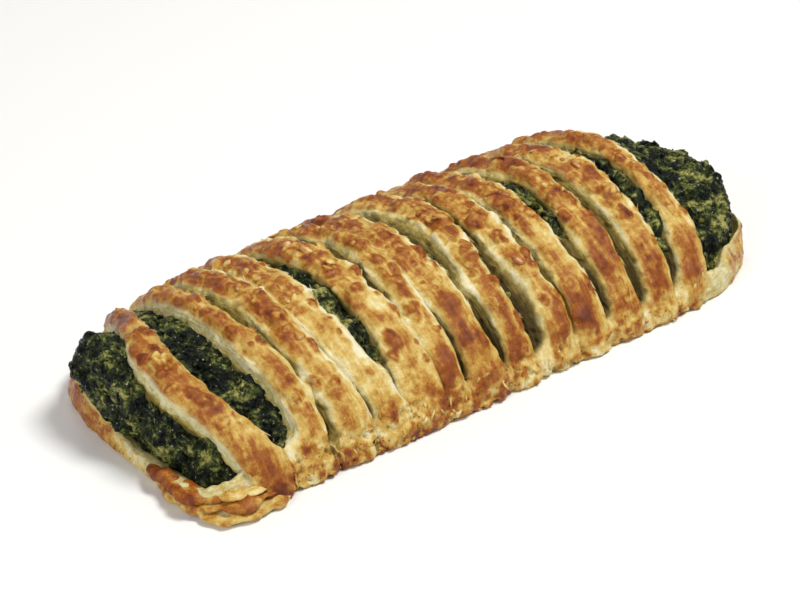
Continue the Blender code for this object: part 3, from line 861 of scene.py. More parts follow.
def lay_rim(name, path, out, run, table, cut, seed):
    share = run / run[-1]
    places, *columns = zip(*table)
    height, thick, flare, tone = (softly(share, places, column, RIM_SOFTEN) for column in columns)
    height, thick, flare = height * MM, thick * MM, flare * MM
    wave = np.stack([run, 0 * run, 0 * run], 1)
    height = height * (1 + 0.10 * grain(wave, 7 * MM, seed) + 0.06 * grain(wave, 2.5 * MM, seed + 1))
    long_side = out[:, 1] ** 2
    leaning = 0.25 + 0.75 * long_side

    def lean(level):
        turn = np.arcsin(np.clip(level * height / crest(path[:, 0]), 0, 1) ** (1 / POWER))
        return HALF_WIDTH * (1 - np.cos(turn) ** POWER) * leaning - flare * level

    lip = lean(1.0)
    profile = (
        (thick + 1.5 * MM, 0 * height),
        (np.full_like(height, 1.4 * MM), 0 * height),
        (0.35 * MM + lean(0.1), 0.09 * height),
        (lean(0.35) - 0.1 * MM, 0.35 * height),
        (lean(0.7), 0.70 * height),
        (lean(0.95) + 0.15 * MM, 0.93 * height),
        (lip + 0.8 * MM, 1.02 * height),
        (lip + 0.5 * thick, height),
        (lip + 0.95 * thick, 0.78 * height),
        (lip + thick + 1.0 * MM, 0.52 * height),
        (lip + thick + 4.0 * MM, 0.50 * height),
        (thick + 9.0 * MM, 0.15 * height),
    )
    inward = np.stack([corner[0] for corner in profile], 1) @ RIM_SPREAD
    level = np.stack([corner[1] for corner in profile], 1) @ RIM_SPREAD
    grid = swept(path, out, -inward, level)
    normal = grid_normals(grid)
    points = grid.reshape(-1, 3)
    round_run = on_columns(run, RIM_COLUMNS).ravel()
    share_up = (level / height[:, None]).ravel()
    inner = ease(0.05, 0.45, (inward - lip[:, None]) / thick[:, None]).ravel()
    low = 1 - ease(0.75, 1.0, share_up)
    outer = 1 - inner
    layered = np.stack([round_run / 12.0, 0 * round_run, points[:, 2] / 1.1], 1)
    layers = 0.40 * MM * grain(layered, MM, seed + 2, octaves=2) * outer * low
    relief = 0.7 * dough_relief(points, round_run, inward.ravel(), 0.6 * inner, 0.45 * outer) + layers
    relief[level.ravel() < 0.05 * MM] *= 0.2
    grid = above_table(grid + normal * relief.reshape(level.shape)[..., None])
    bake = on_columns(tone, RIM_COLUMNS).ravel()
    bake = bake + 0.14 * grain(points, 3.5 * MM, 34) + 0.10 * grain(points, 1.5 * MM, 35)
    bake = bake * (1 - 0.75 * inner) + 0.3 * np.clip(relief / MM, -0.4, 0.4)
    along = on_columns(share, RIM_COLUMNS).ravel()
    start, stop, cut_up = cut
    ragged_up = share_up + 0.12 * grain(points, 3 * MM, seed + 3)
    pale = ease(cut_up - CUT_FADE, cut_up + CUT_FADE, ragged_up)
    pale = pale * ease(start, start + RIM_SOFTEN, along) * (1 - ease(stop - RIM_SOFTEN, stop, along))
    torn = np.stack([round_run, 0 * round_run, points[:, 2] / 3], 1)
    pale = pale * ease(-0.5, 0.1, grain(torn, 2.2 * MM, seed + 4))
    shape = level.shape
    strip = np.stack([round_run.reshape(shape), inward, grid[..., 2]], axis=-1)
    return shape_bar(
        rim_bar, name, grid, rim_ring, rim_column, bake=np.clip(bake, 0, 1).reshape(shape),
        wall=np.maximum(0.8 * inner, 0.9 * pale).reshape(shape),
        deep=np.maximum(0.25 * inner, 0.12 * pale).reshape(shape), cheese=np.zeros(shape),
        foot=(outer * (1 - pale)).reshape(shape), strip=strip,
    )


left_rim = lay_rim("left_rim", left_path, left_out, left_run, LEFT_RIM_MM, LEFT_CUT, 41)
right_rim = lay_rim("right_rim", right_path, right_out, right_run, RIGHT_RIM_MM, RIGHT_CUT, 47)
bpy.data.objects.remove(rim_bar)
print(f"rims have {len(left_rim.data.vertices)} points each")

# %% [markdown]
# ## The folds at the near left corner
# Where the sheet was tucked round this corner it lies in several layers: ragged rolls of crust, one on
# the other, that taper out along both sides, and one short glossy lump. Each is another bar, bent
# along the footprint, oval in section and thin at both ends. They overlap, so the corner is closed.

# %% Corner folds
FOLD_RINGS = 131
FOLD_COLUMNS = 48
fold_bar, fold_ring, fold_column = make_bar("fold_bar", FOLD_RINGS, FOLD_COLUMNS)


def lay_fold(name, start, stop, middle_z, radius_out, radius_up, sink, tone, seed):
    """A roll of crust along the left rim's path, between two shares of the way round."""
    share = np.linspace(start, stop, FOLD_RINGS)
    run = share * left_run[-1]
    path = np.stack([np.interp(run, left_run, left_path[:, i]) for i in (0, 1)], 1)
    out = unit(np.stack([np.interp(run, left_run, left_out[:, i]) for i in (0, 1)], 1))
    fat = np.sin(np.linspace(0.06, math.pi - 0.06, FOLD_RINGS)) ** 0.6
    turn = np.linspace(0, 2 * math.pi, FOLD_COLUMNS, endpoint=False)
    wave = np.stack([run, 0 * run, 0 * run + 10.0 * middle_z], 1)
    ragged = 1.3 * MM * grain(wave, 6 * MM, seed + 5) + 0.8 * MM * grain(wave, 2.0 * MM, seed + 6)
    hanging = 0.50 * MM * grain(wave, 9 * MM, seed + 7)
    outer = np.clip(np.cos(turn), 0.0, 1.0)[None, :]
    outward = fat[:, None] * (radius_out * np.cos(turn)[None, :] + ragged[:, None] * outer) - sink
    up = middle_z + hanging[:, None] + fat[:, None] * radius_up * np.sin(turn)[None, :]
    grid = swept(path, out, outward, up)
    normal = grid_normals(grid)
    points = grid.reshape(-1, 3)
    round_run = on_columns(run, FOLD_COLUMNS).ravel()
    layered = np.stack([round_run / 9.0, 0 * round_run, points[:, 2] / 0.95], 1)
    relief = 0.16 * MM * grain(layered, MM, seed, octaves=2)
    relief += 0.55 * MM * grain(points, 3.5 * MM, seed + 1)
    relief += 0.30 * MM * grain(points, 1.8 * MM, seed + 2, octaves=2)
    grid = above_table(grid + normal * relief.reshape(up.shape)[..., None])
    bake = tone + 0.20 * grain(points, 4 * MM, seed + 3) + 0.14 * grain(points, 1.5 * MM, seed + 4)
    outside = np.repeat(outer, FOLD_RINGS, axis=0).ravel()
    bake += 0.25 * np.clip(relief / MM, -0.6, 0.4) - 0.10 * (1 - outside)
    shape = up.shape
    strip = np.stack([round_run.reshape(shape), outward, grid[..., 2]], axis=-1)
    return shape_bar(
        fold_bar, name, grid, fold_ring, fold_column, bake=np.clip(bake, 0, 1).reshape(shape),
        wall=np.zeros(shape), deep=np.zeros(shape), cheese=np.zeros(shape),
        foot=np.full(shape, 0.3), strip=strip,
    )


# Start and stop as shares of the way round; height, half width, half thickness and sink in mm; tone
FOLDS_MM = (
    (0.02, 0.21, 1.3, 3.5, 1.35, -0.2, 0.42), (0.04, 0.21, 3.2, 3.2, 1.10, 0.7, 0.58),
    (0.05, 0.17, 4.9, 2.8, 1.00, 1.8, 0.38), (0.15, 0.36, 1.7, 2.4, 1.30, 0.7, 0.50),
    (0.15, 0.31, 4.1, 2.8, 1.20, 1.5, 0.70), (0.27, 0.36, 3.6, 2.2, 1.60, 1.1, 0.72),
)
FOLD_SEED = 51
folds = []
for index, (start, stop, *sizes, tone) in enumerate(FOLDS_MM):
    sizes = [size * MM for size in sizes]
    folds.append(lay_fold(f"fold_{index + 1}", start, stop, *sizes, tone, FOLD_SEED + 10 * index))
bpy.data.objects.remove(fold_bar)
print("folds at the corner:", [fold.name for fold in folds])

# %% [markdown]
# ## The base sheet
# Underneath, the loaf is closed by the flat sheet that it was wrapped in. Only its lower face shows
# when the strudel is turned over. It is a circle filled with faces, thickened, and then drawn out to
# the footprint. Each inset adds a ring of faces, so that the sheet can be a little uneven.

# %% Base sheet
BASE_POINTS = 240
BASE_INSETS = (0.06, 0.08, 0.12, 0.16, 0.18)
BASE_THICKNESS = 2.4 * MM
BASE_MARGIN = 3.0 * MM
BASE_HEIGHT = 0.25 * MM
BASE_UNEVEN = 0.12 * MM


def lay_base():
    deselect_all()
    bpy.ops.mesh.primitive_circle_add(vertices=BASE_POINTS, radius=1.0, fill_type="NGON")
    base = bpy.context.object
    base.name = base.data.name = "base_sheet"
    bpy.ops.object.mode_set(mode="EDIT")
    bpy.ops.mesh.select_all(action="SELECT")
    for width in BASE_INSETS:
        bpy.ops.mesh.inset(thickness=width, depth=0.0)
    bpy.ops.mesh.select_all(action="SELECT")
    bpy.ops.mesh.extrude_region_move(TRANSFORM_OT_translate={"value": (0, 0, BASE_THICKNESS)})
    bpy.ops.object.mode_set(mode="OBJECT")
    co = np.empty(3 * len(base.data.vertices))
    base.data.vertices.foreach_get("co", co)
    co = co.reshape(-1, 3)
    reach = np.hypot(co[:, 0], co[:, 1])
    turn = np.arctan2(co[:, 1], co[:, 0])
    x = (HALF_LENGTH - BASE_MARGIN) * np.sign(np.cos(turn)) * np.abs(np.cos(turn)) ** 0.35
    side = np.where(turn > 0, math.pi, 0.0)
    y = (HALF_WIDTH - BASE_MARGIN) * np.sign(np.sin(turn)) * footprint(x * 0.999, side)
    y = y * np.abs(np.sin(turn)) ** 0.2
    co[:, 0] = x * reach
    co[:, 1] = y * reach
    co[:, 2] += BASE_HEIGHT + BASE_UNEVEN * grain(co, 6 * MM, 61)
    base.data.vertices.foreach_set("co", co.astype(np.float32).ravel())
    base.data.update()
    deselect_all()
    base.select_set(True)
    bpy.context.view_layer.objects.active = base
    bpy.ops.object.mode_set(mode="EDIT")
    bpy.ops.mesh.select_all(action="SELECT")
    bpy.ops.mesh.normals_make_consistent(inside=False)
    bpy.ops.object.mode_set(mode="OBJECT")
    bpy.ops.object.shade_smooth_by_angle(angle=math.radians(40))
    return base


base_sheet = lay_base()
print(f"base sheet {1000 * base_sheet.dimensions.x:.0f} x {1000 * base_sheet.dimensions.y:.0f} mm")

# %% [markdown]
# ## The spinach core
# The filling is one mass of chopped, cooked spinach that runs through the loaf. It swells up between
# the slats and bulges out of both ends. Its bar is laid from one blunt end to the other, with rings
# close together where it shows, and its relief has coarse folds, chopped lumps and fine leaf edges.

# %% Lay the core
CORE_WALL = 4.8 * MM
CORE_UNDER = 5.2 * MM
CORE_BASE = 2.6 * MM
CORE_LEFT = -87.4 * MM
CORE_RIGHT = 89.0 * MM
CORE_BLUNT_LEFT = 11.0
CORE_BLUNT_RIGHT = 10.0
# How far the low near corner of the filling keeps back from the rim, at the left and the right end
KEPT_BACK = (1.4 * MM, 3.6 * MM)
# How far the top of the left end bulges out over its rim
OVERHANG = 1.8 * MM
CORE_RINGS = 381
CORE_COLUMNS = 232
CORE_FLAT_COLUMNS = 12
CORE_TIP = 0.012
CORE_LOWEST = 1.6 * MM
# How much darker the spinach in the first slit is painted, for the shade in that deep slit
SLIT_SHADE = 0.40
# Where the filling swells: place along the loaf, angle, half width, half length, rise
SWELLS_MM = (
    (-35.0, 74, 3.4, 26.0, 3.8), (58.6, 76, 3.4, 26.0, 3.8), (32.4, 78, 2.8, 14.0, 3.2),
    (87.0, 49, 6.5, 15.0, 6.4), (-85.0, 116, 8.0, 20.0, 6.8), (-71.0, 66, 4.0, 26.0, 0.9),
    (76.0, 50, 7.0, 20.0, 1.0), (80.0, 100, 9.0, 22.0, -2.4), (-35.0, 130, 4.0, 12.0, 1.2),
    (58.0, 130, 4.0, 12.0, 1.2), (-68.0, 125, 4.0, 12.0, 0.8), (-88.0, 138, 6.0, 14.0, 2.0),
)
# How close the rings lie by the place along the loaf: 1 where the filling shows, less where it hides
RING_PLACES_MM = (-80, -76, -62, -58, -41, -38, -31, -29, 27, 29, 36, 40, 54, 56, 62, 66, 70)
RING_SHARES = (1, 1, 1, 0.5, 0.5, 1, 1, 0.5, 0.5, 0.9, 0.9, 0.5, 0.5, 1, 1, 0.8, 1)


def core_stations():
    """X and share of the full section at each ring, even along the outline of the core."""
    turn = np.linspace(-math.pi / 2, math.pi / 2, 40001)
    blunt = np.where(turn < 0, CORE_BLUNT_LEFT, CORE_BLUNT_RIGHT)
    share = np.maximum(np.cos(turn), 0.0) ** (2 / blunt)
    side = np.where(turn < 0, -CORE_LEFT, CORE_RIGHT)
    x = side * np.sign(turn) * np.abs(np.sin(turn)) ** (2 / blunt)
    step = np.hypot(np.diff(x), 0.034 * np.diff(share))
    close = np.interp(x[1:] / MM, RING_PLACES_MM, RING_SHARES)
    run = np.concatenate([[0.0], np.cumsum(step * close)])
    even = np.linspace(run[-1], 0.0, CORE_RINGS)
    return np.interp(even, run, x), np.interp(even, run, share)


def core_point(x, angle, share):
    """A point of the core's smooth surface, raised by its swells."""
    reach = np.where(x < 0, -CORE_LEFT, CORE_RIGHT)
    swell = np.zeros_like(x)
    for place, degrees, half_x, half_arc, lift in SWELLS_MM:
        arc_away = (arc_at(angle) - arc_at(math.radians(degrees))) / MM / half_arc
        away = np.hypot((x / MM - place) / half_x, arc_away)
        swell = swell + lift * MM * np.exp(-1.2 * away ** 2)
    swell = swell * ease(math.radians(12), math.radians(42), np.minimum(angle, math.pi - angle))
    half = HALF_WIDTH - CORE_WALL
    rise = crest(x) - CORE_UNDER - CORE_BASE
    stretched = x * HALF_LENGTH / reach * np.where(x < 0, 0.95, 0.90)
    full = skin(stretched, angle, -swell, half, rise, CORE_BASE)
    low = 1.0 - ease(math.radians(18), math.radians(55), angle)
    high = ease(math.radians(40), math.radians(90), angle)
    high = high * (1.0 - ease(math.radians(142), math.radians(160), angle))
    at_left, at_right = ease(0.84, 0.99, -x / reach), ease(0.88, 0.99, x / reach)
    back = low * (KEPT_BACK[0] * at_left - KEPT_BACK[1] * at_right) - OVERHANG * high * at_left
    up = CORE_BASE + (full[..., 2] - CORE_BASE) * share
    return np.stack([x + back, full[..., 1] * share, up], axis=-1)


def shaded(x):
    """1 in the first slit, where the spinach is painted darker for shade, and 0 elsewhere."""
    return ease(-79 * MM, -75 * MM, x) * (1.0 - ease(-62 * MM, -58 * MM, x))


def lay_core():
    core_bar, ring, column = make_bar("core_bar", CORE_RINGS, CORE_COLUMNS)
    x, share = core_stations()
    arched = CORE_COLUMNS - CORE_FLAT_COLUMNS
    angle = np.concatenate([turns(arched), np.linspace(math.pi, 0.0, CORE_FLAT_COLUMNS + 2)[1:-1]])
    angle_grid, x_grid = np.meshgrid(angle, x)
    share_grid = on_columns(np.maximum(share, CORE_TIP), CORE_COLUMNS)
    grid = core_point(x_grid, angle_grid, share_grid)
    flat = np.arange(CORE_COLUMNS) >= arched
    start, stop = grid[:, arched - 1], grid[:, 0]
    for step, index in enumerate(np.flatnonzero(flat), start=1):
        grid[:, index] = start + (stop - start) * step / (CORE_FLAT_COLUMNS + 1)
    normal = grid_normals(grid)
    points = grid.reshape(-1, 3)
    coarse = 1.2 * MM * grain(points, 5.0 * MM, 71)
    lumps = 1.2 * MM * np.abs(grain(points, 2.8 * MM, 72))
    relief = coarse + lumps - 0.6 * MM + 0.28 * MM * grain(points, 1.0 * MM, 73)
    relief = relief.reshape(x_grid.shape) * ~flat[None, :]
    grid = grid + normal * relief[..., None]
    grid[..., 2] = np.maximum(grid[..., 2], CORE_LOWEST)
    # Painted shade: the spinach is coloured darker in its hollows and lighter on its lumps, and darker
    # in the first slit
    raised = np.clip(0.5 + relief / (2.2 * MM), 0, 1) - SLIT_SHADE * shaded(grid[..., 0])
    core = shape_bar(core_bar, "spinach_core", grid, ring, column, raised=raised)
    bpy.data.objects.remove(core_bar)
    return core, grid[:, :arched], angle_grid[:, :arched]


spinach_core, core_grid, core_angle = lay_core()
print(f"core: {len(spinach_core.data.polygons)} faces")

# %% [markdown]
# ## Chopped leaves
# Cooked spinach looks chopped because small limp bits of leaf lie all over it. One bit is modelled: a
# ball pressed flat. It is then copied a few thousand times over the parts of the core that show, each
# copy crumpled, turned, bent and scaled by a seeded draw, and all of them are one mesh.

# %% One bit of leaf and one bit of stalk
def make_bit(name, cuts, flat):
    """A small ball pressed flat, with 20 faces, or 80 when it is cut once more."""
    deselect_all()
    bpy.ops.mesh.primitive_ico_sphere_add(subdivisions=cuts, radius=0.5, location=(0, 0, 0))
    bit = bpy.context.object
    bit.name = bit.data.name = name
    bpy.ops.object.mode_set(mode="EDIT")
    bpy.ops.mesh.select_all(action="SELECT")
    bpy.ops.transform.resize(value=(1.0, flat[0], flat[1]))
    bpy.ops.object.mode_set(mode="OBJECT")
    return bit


STALK_SIDES = 5
STALK_STEPS = 4


def make_stalk():
    """A thin rod, 1 long, drawn out in steps from a small circle and closed at both ends."""
    deselect_all()
    bpy.ops.mesh.primitive_circle_add(
        vertices=STALK_SIDES, radius=0.07, fill_type="NOTHING", rotation=(0, math.pi / 2, 0),
    )
    stalk = bpy.context.object
    stalk.name = stalk.data.name = "stalk_bit"
    bpy.ops.object.mode_set(mode="EDIT")
    bpy.ops.mesh.select_all(action="SELECT")
    bpy.ops.transform.translate(value=(-0.5, 0, 0))
    for _ in range(STALK_STEPS):
        bpy.ops.mesh.extrude_region_move(TRANSFORM_OT_translate={"value": (1.0 / STALK_STEPS, 0, 0)})
    bpy.ops.mesh.select_all(action="SELECT")
    bpy.ops.mesh.fill_holes(sides=STALK_SIDES)
    bpy.ops.mesh.select_all(action="SELECT")
    bpy.ops.mesh.quads_convert_to_tris()
    bpy.ops.mesh.normals_make_consistent(inside=False)
    bpy.ops.object.mode_set(mode="OBJECT")
    bpy.ops.object.transform_apply(location=True, rotation=True, scale=True)
    return stalk


leaf_bit = make_bit("leaf_bit", 1, (0.7, 0.30))
stalk_bit = make_stalk()
print(f"one bit of leaf: {len(leaf_bit.data.polygons)} faces, of stalk: {len(stalk_bit.data.polygons)}")

# %% [markdown]
# Thousands of objects would be slow, and one mesh is not. The points of all copies are worked out in
# one go: crumple, scale, bend, turn and move. Each copy also gets a tone, which its material reads.

# %% Many copies in one mesh
def scatter_mesh(
    name, model, places, turns_of, scales, bends, tones, rng, crumple=0.35, paler_top=0.0,
):
    """One mesh of crumpled copies of a model, each with its own place, turn, scale, bend and tone."""
    base = np.empty(3 * len(model.data.vertices))
    model.data.vertices.foreach_get("co", base)
    base = base.reshape(-1, 3)
    faces = np.array([list(face.vertices) for face in model.data.polygons])
    count = len(places)
    top = np.clip(base[:, 2] / base[:, 2].max(), 0.0, 1.0)
    shades = tones[:, None] - paler_top * top[None, :] * rng.uniform(0.2, 1.0, (count, 1))
    crumpled = base * (1.0 + rng.uniform(-crumple, crumple, (count, len(base), 3)))
    bent = crumpled * scales[:, None, :]
    bent[..., 2] += bends[:, :1] * bent[..., 0] ** 2 + bends[:, 1:2] * bent[..., 0] * bent[..., 1]
    turned = above_table(np.einsum("nij,nvj->nvi", turns_of, bent) + places[:, None, :])
    mesh = bpy.data.meshes.new(name)
    offset = (np.arange(count) * len(base))[:, None, None]
    all_faces = (faces[None] + offset).reshape(-1, faces.shape[1])
    mesh.from_pydata(turned.reshape(-1, 3).tolist(), [], all_faces.tolist())
    mesh.polygons.foreach_set("use_smooth", np.ones(len(mesh.polygons), dtype=bool))
    layer = mesh.attributes.new("tone", "FLOAT", "POINT")
    layer.data.foreach_set("value", shades.ravel().astype(np.float32))
    piece = bpy.data.objects.new(name, mesh)
    bpy.context.scene.collection.objects.link(piece)
    return piece


def frames_on(normal, spin, tilt, rng):
    """Turns whose third axis is near a normal: spin is round it, and tilt leans away from it."""
    up = unit(normal + tilt[:, None] * rng.normal(size=normal.shape))
    other = np.where(np.abs(up[:, :1]) < 0.8, np.array([[1.0, 0, 0]]), np.array([[0, 1.0, 0]]))
    side = unit(np.cross(up, other))
    front = np.cross(up, side)
    one = np.cos(spin)[:, None] * side + np.sin(spin)[:, None] * front
    two = np.cross(up, one)
    return np.stack([one, two, up], axis=2)


_up = np.array([[0.0, 0.0, 1.0]])
_still = frames_on(_up, np.zeros(1), np.zeros(1), np.random.default_rng(0))
print("turn of a bit on flat ground:", _still.round(1).tolist())

# %% [markdown]
# Leaves lie thick where the filling shows, and a few lie elsewhere. A place is drawn by the area of
# each small face of the core, so that crowded rings don't draw more leaves than wide ones.

# %% Leaves and stalks on the spinach
LEAF_SEED = 83
LEAF_COUNT = 4500
STALK_COUNT = 160
# Stretches of the core that show, in mm along the loaf
LEAF_BEDS_MM = ((-92, -64), (-40, -30.5), (27, 36), (53, 91))
HIDDEN_SHARE = 0.04


def core_places(count, rng):
    """Places and outward directions on the parts of the core that show, spread evenly by area."""
    near_corner = core_grid[:-1, :-1]
    along = core_grid[1:, :-1] - near_corner
    around = core_grid[:-1, 1:] - near_corner
    direction = np.cross(around, along)
    area = np.linalg.norm(direction, axis=2)
    shows = np.full(area.shape, HIDDEN_SHARE)
    for start, stop in LEAF_BEDS_MM:
        shows[(near_corner[..., 0] > start * MM) & (near_corner[..., 0] < stop * MM)] = 1.0
    from_foot = np.minimum(core_angle, math.pi - core_angle)[:-1, :-1]
    shows = shows * ease(math.radians(4), math.radians(12), from_foot)
    chance = (area * shows).ravel()
    pick = rng.choice(chance.size, count, p=chance / chance.sum())
    shift = rng.uniform(0, 1, (count, 2, 1))
    place = near_corner.reshape(-1, 3)[pick]
    place = place + shift[:, 0] * along.reshape(-1, 3)[pick] + shift[:, 1] * around.reshape(-1, 3)[pick]
    normal = direction.reshape(-1, 3)[pick]
    return place, normal / np.maximum(np.linalg.norm(normal, axis=1, keepdims=True), 1e-15)


def lay_leaves():
    rng = np.random.default_rng(LEAF_SEED)
    place, normal = core_places(LEAF_COUNT, rng)
    place = place + normal * rng.uniform(-0.22, 0.08, (LEAF_COUNT, 1)) * MM
    size = rng.uniform(0.75, 1.5, (LEAF_COUNT, 1)) ** 1.8 * MM
    scales = size * rng.uniform((0.9, 0.8, 0.9), (1.6, 1.4, 1.8), (LEAF_COUNT, 3))
    bends = rng.normal(0, 120, (LEAF_COUNT, 2))
    spin = rng.uniform(0, 2 * math.pi, LEAF_COUNT)
    turn = frames_on(normal, spin, rng.uniform(0.02, 0.16, LEAF_COUNT), rng)
    # Leaves in the first slit are painted darker for shade, like the core under them
    tones = rng.uniform(0, 1, LEAF_COUNT) ** 1.5 - SLIT_SHADE * shaded(place[:, 0])
    return scatter_mesh("spinach_leaves", leaf_bit, place, turn, scales, bends, tones, rng, 0.22)


def lay_stalks():
    rng = np.random.default_rng(LEAF_SEED + 1)
    place, normal = core_places(STALK_COUNT, rng)
    place = place + normal * 0.15 * MM
    scales = rng.uniform((1.2, 1.5, 1.5), (2.8, 3.5, 3.5), (STALK_COUNT, 3)) * MM
    bends = rng.normal(0, 110, (STALK_COUNT, 2))
    spin = rng.uniform(0, 2 * math.pi, STALK_COUNT)
    turn = frames_on(normal, spin, rng.uniform(0.02, 0.12, STALK_COUNT), rng)
    tones = rng.uniform(0.4, 1.1, STALK_COUNT)
    return scatter_mesh("spinach_stalks", stalk_bit, place, turn, scales, bends, tones, rng)


spinach_leaves = lay_leaves()
spinach_stalks = lay_stalks()
bpy.data.objects.remove(leaf_bit)
bpy.data.objects.remove(stalk_bit)
print(f"leaves: {len(spinach_leaves.data.polygons)} faces, stalks: {len(spinach_stalks.data.polygons)}")

# %% [markdown]
# ## Melted cheese and flakes
# Grated cheese lies baked on the crests as small lumps, paler on top than at their edges. The foot of
# the loaf and the right edges of the slats shed thin flakes of pastry. Both are again one small bit
# each, copied many times. They lie on the finished surface of the slats, which was kept for this.

# %% Places on the slats
def slat_places(count, rng, weigh):
    """Places, outward directions and directions along the slat, drawn where weigh says so."""
    found = []
    for number, (grid, angle, across, depth) in enumerate(slat_grids):
        along = np.roll(grid, -1, axis=0)[:-1] - grid[:-1]
        around = np.roll(grid, -1, axis=1)[:-1] - grid[:-1]
        direction = np.cross(around, along)
        area = np.linalg.norm(direction, axis=2)
        weight = area * weigh(number, np.degrees(angle[:-1]), across[:-1], depth[:-1])
        parts = (grid[:-1], direction, along, weight[..., None])
        found.append([part.reshape(-1, part.shape[-1]) for part in parts])
    place, direction, along, weight = (np.concatenate(parts) for parts in zip(*found))
    chance = weight[:, 0] / weight.sum()
    pick = rng.choice(len(chance), count, p=chance)
    return place[pick], unit(direction[pick]), unit(along[pick])


def frames_along(normal, forward, sway, rng):
    """Turns whose first axis runs along the slat, give or take a sway, and whose third points out."""
    one = forward + sway * rng.normal(size=forward.shape)
    one = unit(one - np.sum(one * normal, axis=1, keepdims=True) * normal)
    return np.stack([one, np.cross(normal, one), normal], axis=2)


def on_crest(number, degrees, across, depth):
    """Most where the crust is thick and near the left of a slat, and a little all over its top."""
    baked = np.interp(degrees, *zip(*CRUST_BY_ANGLE)) * SLAT_CRUST[number]
    baked = baked + 0.05 * (degrees > 25) * (degrees < 155)
    top = (depth < 0.25 * MM) * (across > 0.04) * (across < 0.9)
    return baked * top * np.where(across < 0.7, 1.0, 0.4)


def on_foot(number, degrees, across, depth):
    """Low down on every slat but the first."""
    from_foot = np.minimum(degrees, 180 - degrees)
    there = (number > 0) * (from_foot < 22) * (from_foot > 1.5) * (depth < 1.2 * MM)
    return there * np.interp(from_foot, (2, 12, 22), (1.0, 1.0, 0.15))


def on_edge(number, degrees, across, depth):
    """Along the right edge of each slat."""
    return (degrees > 32) * (degrees < 148) * (across > 0.94) * (across < 1.02) * (depth < 0.9 * MM)


print("kept surfaces:", len(slat_grids))

# %% [markdown]
# Lumps of cheese sink in a little and lie any way round. Crumbs lean at the foot, and shreds lie along
# the edge that they come off. Each kind has its own sizes, bends and tones.

# %% Cheese, crumbs and shreds
TOPPING_SEED = 91
CHEESE_COUNT = 60
CRUMB_COUNT = 180
SHRED_COUNT = 420
cheese_bit = make_bit("cheese_bit", 2, (0.8, 0.5))
flake_bit = make_bit("flake_bit", 1, (0.6, 0.16))


def lay_toppings():
    rng = np.random.default_rng(TOPPING_SEED)
    place, normal, forward = slat_places(CHEESE_COUNT, rng, on_crest)
    size = rng.uniform(1.8, 3.6, (CHEESE_COUNT, 1)) * MM
    scales = size * rng.uniform((0.9, 0.7, 0.5), (1.7, 1.2, 0.8), (CHEESE_COUNT, 3))
    lumps = scatter_mesh(
        "melted_cheese", cheese_bit, place - normal * scales[:, 2:] * 0.12,
        frames_along(normal, forward, 0.8, rng), scales, rng.normal(0, 60, (CHEESE_COUNT, 2)),
        rng.uniform(0.50, 0.70, CHEESE_COUNT), rng, 0.20, 0.30,
    )
    place, normal, forward = slat_places(CRUMB_COUNT, rng, on_foot)
    scales = rng.uniform((1.0, 0.8, 0.8), (3.0, 2.0, 2.0), (CRUMB_COUNT, 3)) * MM
    lean = rng.uniform(0.02, 0.25, CRUMB_COUNT)
    crumbs = scatter_mesh(
        "foot_flakes", flake_bit, place, frames_on(normal, rng.uniform(0, 6.3, CRUMB_COUNT), lean, rng),
        scales, rng.normal(0, 90, (CRUMB_COUNT, 2)), rng.uniform(0.15, 0.50, CRUMB_COUNT), rng,
    )
    place, normal, forward = slat_places(SHRED_COUNT, rng, on_edge)
    scales = rng.uniform((1.5, 0.4, 0.7), (5.0, 0.9, 1.4), (SHRED_COUNT, 3)) * MM
    shreds = scatter_mesh(
        "edge_flakes", flake_bit, place, frames_along(normal, forward, 0.12, rng), scales,
        rng.normal(0, 30, (SHRED_COUNT, 2)), rng.uniform(0.0, 0.32, SHRED_COUNT), rng,
    )
    return lumps, crumbs, shreds


toppings = lay_toppings()
for bit in (cheese_bit, flake_bit):
    bpy.data.objects.remove(bit)
print("faces of cheese, crumbs and shreds:", [len(piece.data.polygons) for piece in toppings])

# %% [markdown]
# ## Materials
# Colours come from nodes, so they never repeat. The dough has one material: a colour ramp from pale
# cream over gold and orange brown to dark red brown, driven by the stored browning and by grain. Cut
# walls are pale with fine lines along the slat, and turn green and olive towards the spinach, with
# painted shade darkening them deep in the slits.

# %% Node helpers
def new_material(name):
    material = bpy.data.materials.new(name)
    material.use_nodes = True
    tree = material.node_tree
    tree.nodes.clear()
    output = tree.nodes.new("ShaderNodeOutputMaterial")
    shader = tree.nodes.new("ShaderNodeBsdfPrincipled")
    tree.links.new(shader.outputs["BSDF"], output.inputs["Surface"])
    return material, tree, shader


def feed(tree, socket, value):
    """Link a socket to another one, or set it to a value."""
    if isinstance(value, bpy.types.NodeSocket):
        tree.links.new(value, socket)
    else:
        socket.default_value = value


def stored(tree, name, output="Fac"):
    node = tree.nodes.new("ShaderNodeAttribute")
    node.attribute_name = name
    return node.outputs[output]


def figure(tree, operation, first, second=0.0, third=0.0, clamp=False):
    node = tree.nodes.new("ShaderNodeMath")
    node.operation = operation
    node.use_clamp = clamp
    for socket, value in zip(node.inputs, (first, second, third)):
        feed(tree, socket, value)
    return node.outputs[0]


def centred(tree, value, spread):
    """A value from 0 to 1, scaled so that it swings by half a spread to both sides of 0."""
    return figure(tree, "MULTIPLY_ADD", value, spread, -spread / 2)


def mix(tree, share, first, second):
    node = tree.nodes.new("ShaderNodeMix")
    node.data_type = "RGBA"
    node.clamp_factor = True
    feed(tree, node.inputs["Factor"], share)
    feed(tree, node.inputs[6], first)
    feed(tree, node.inputs[7], second)
    return node.outputs[2]


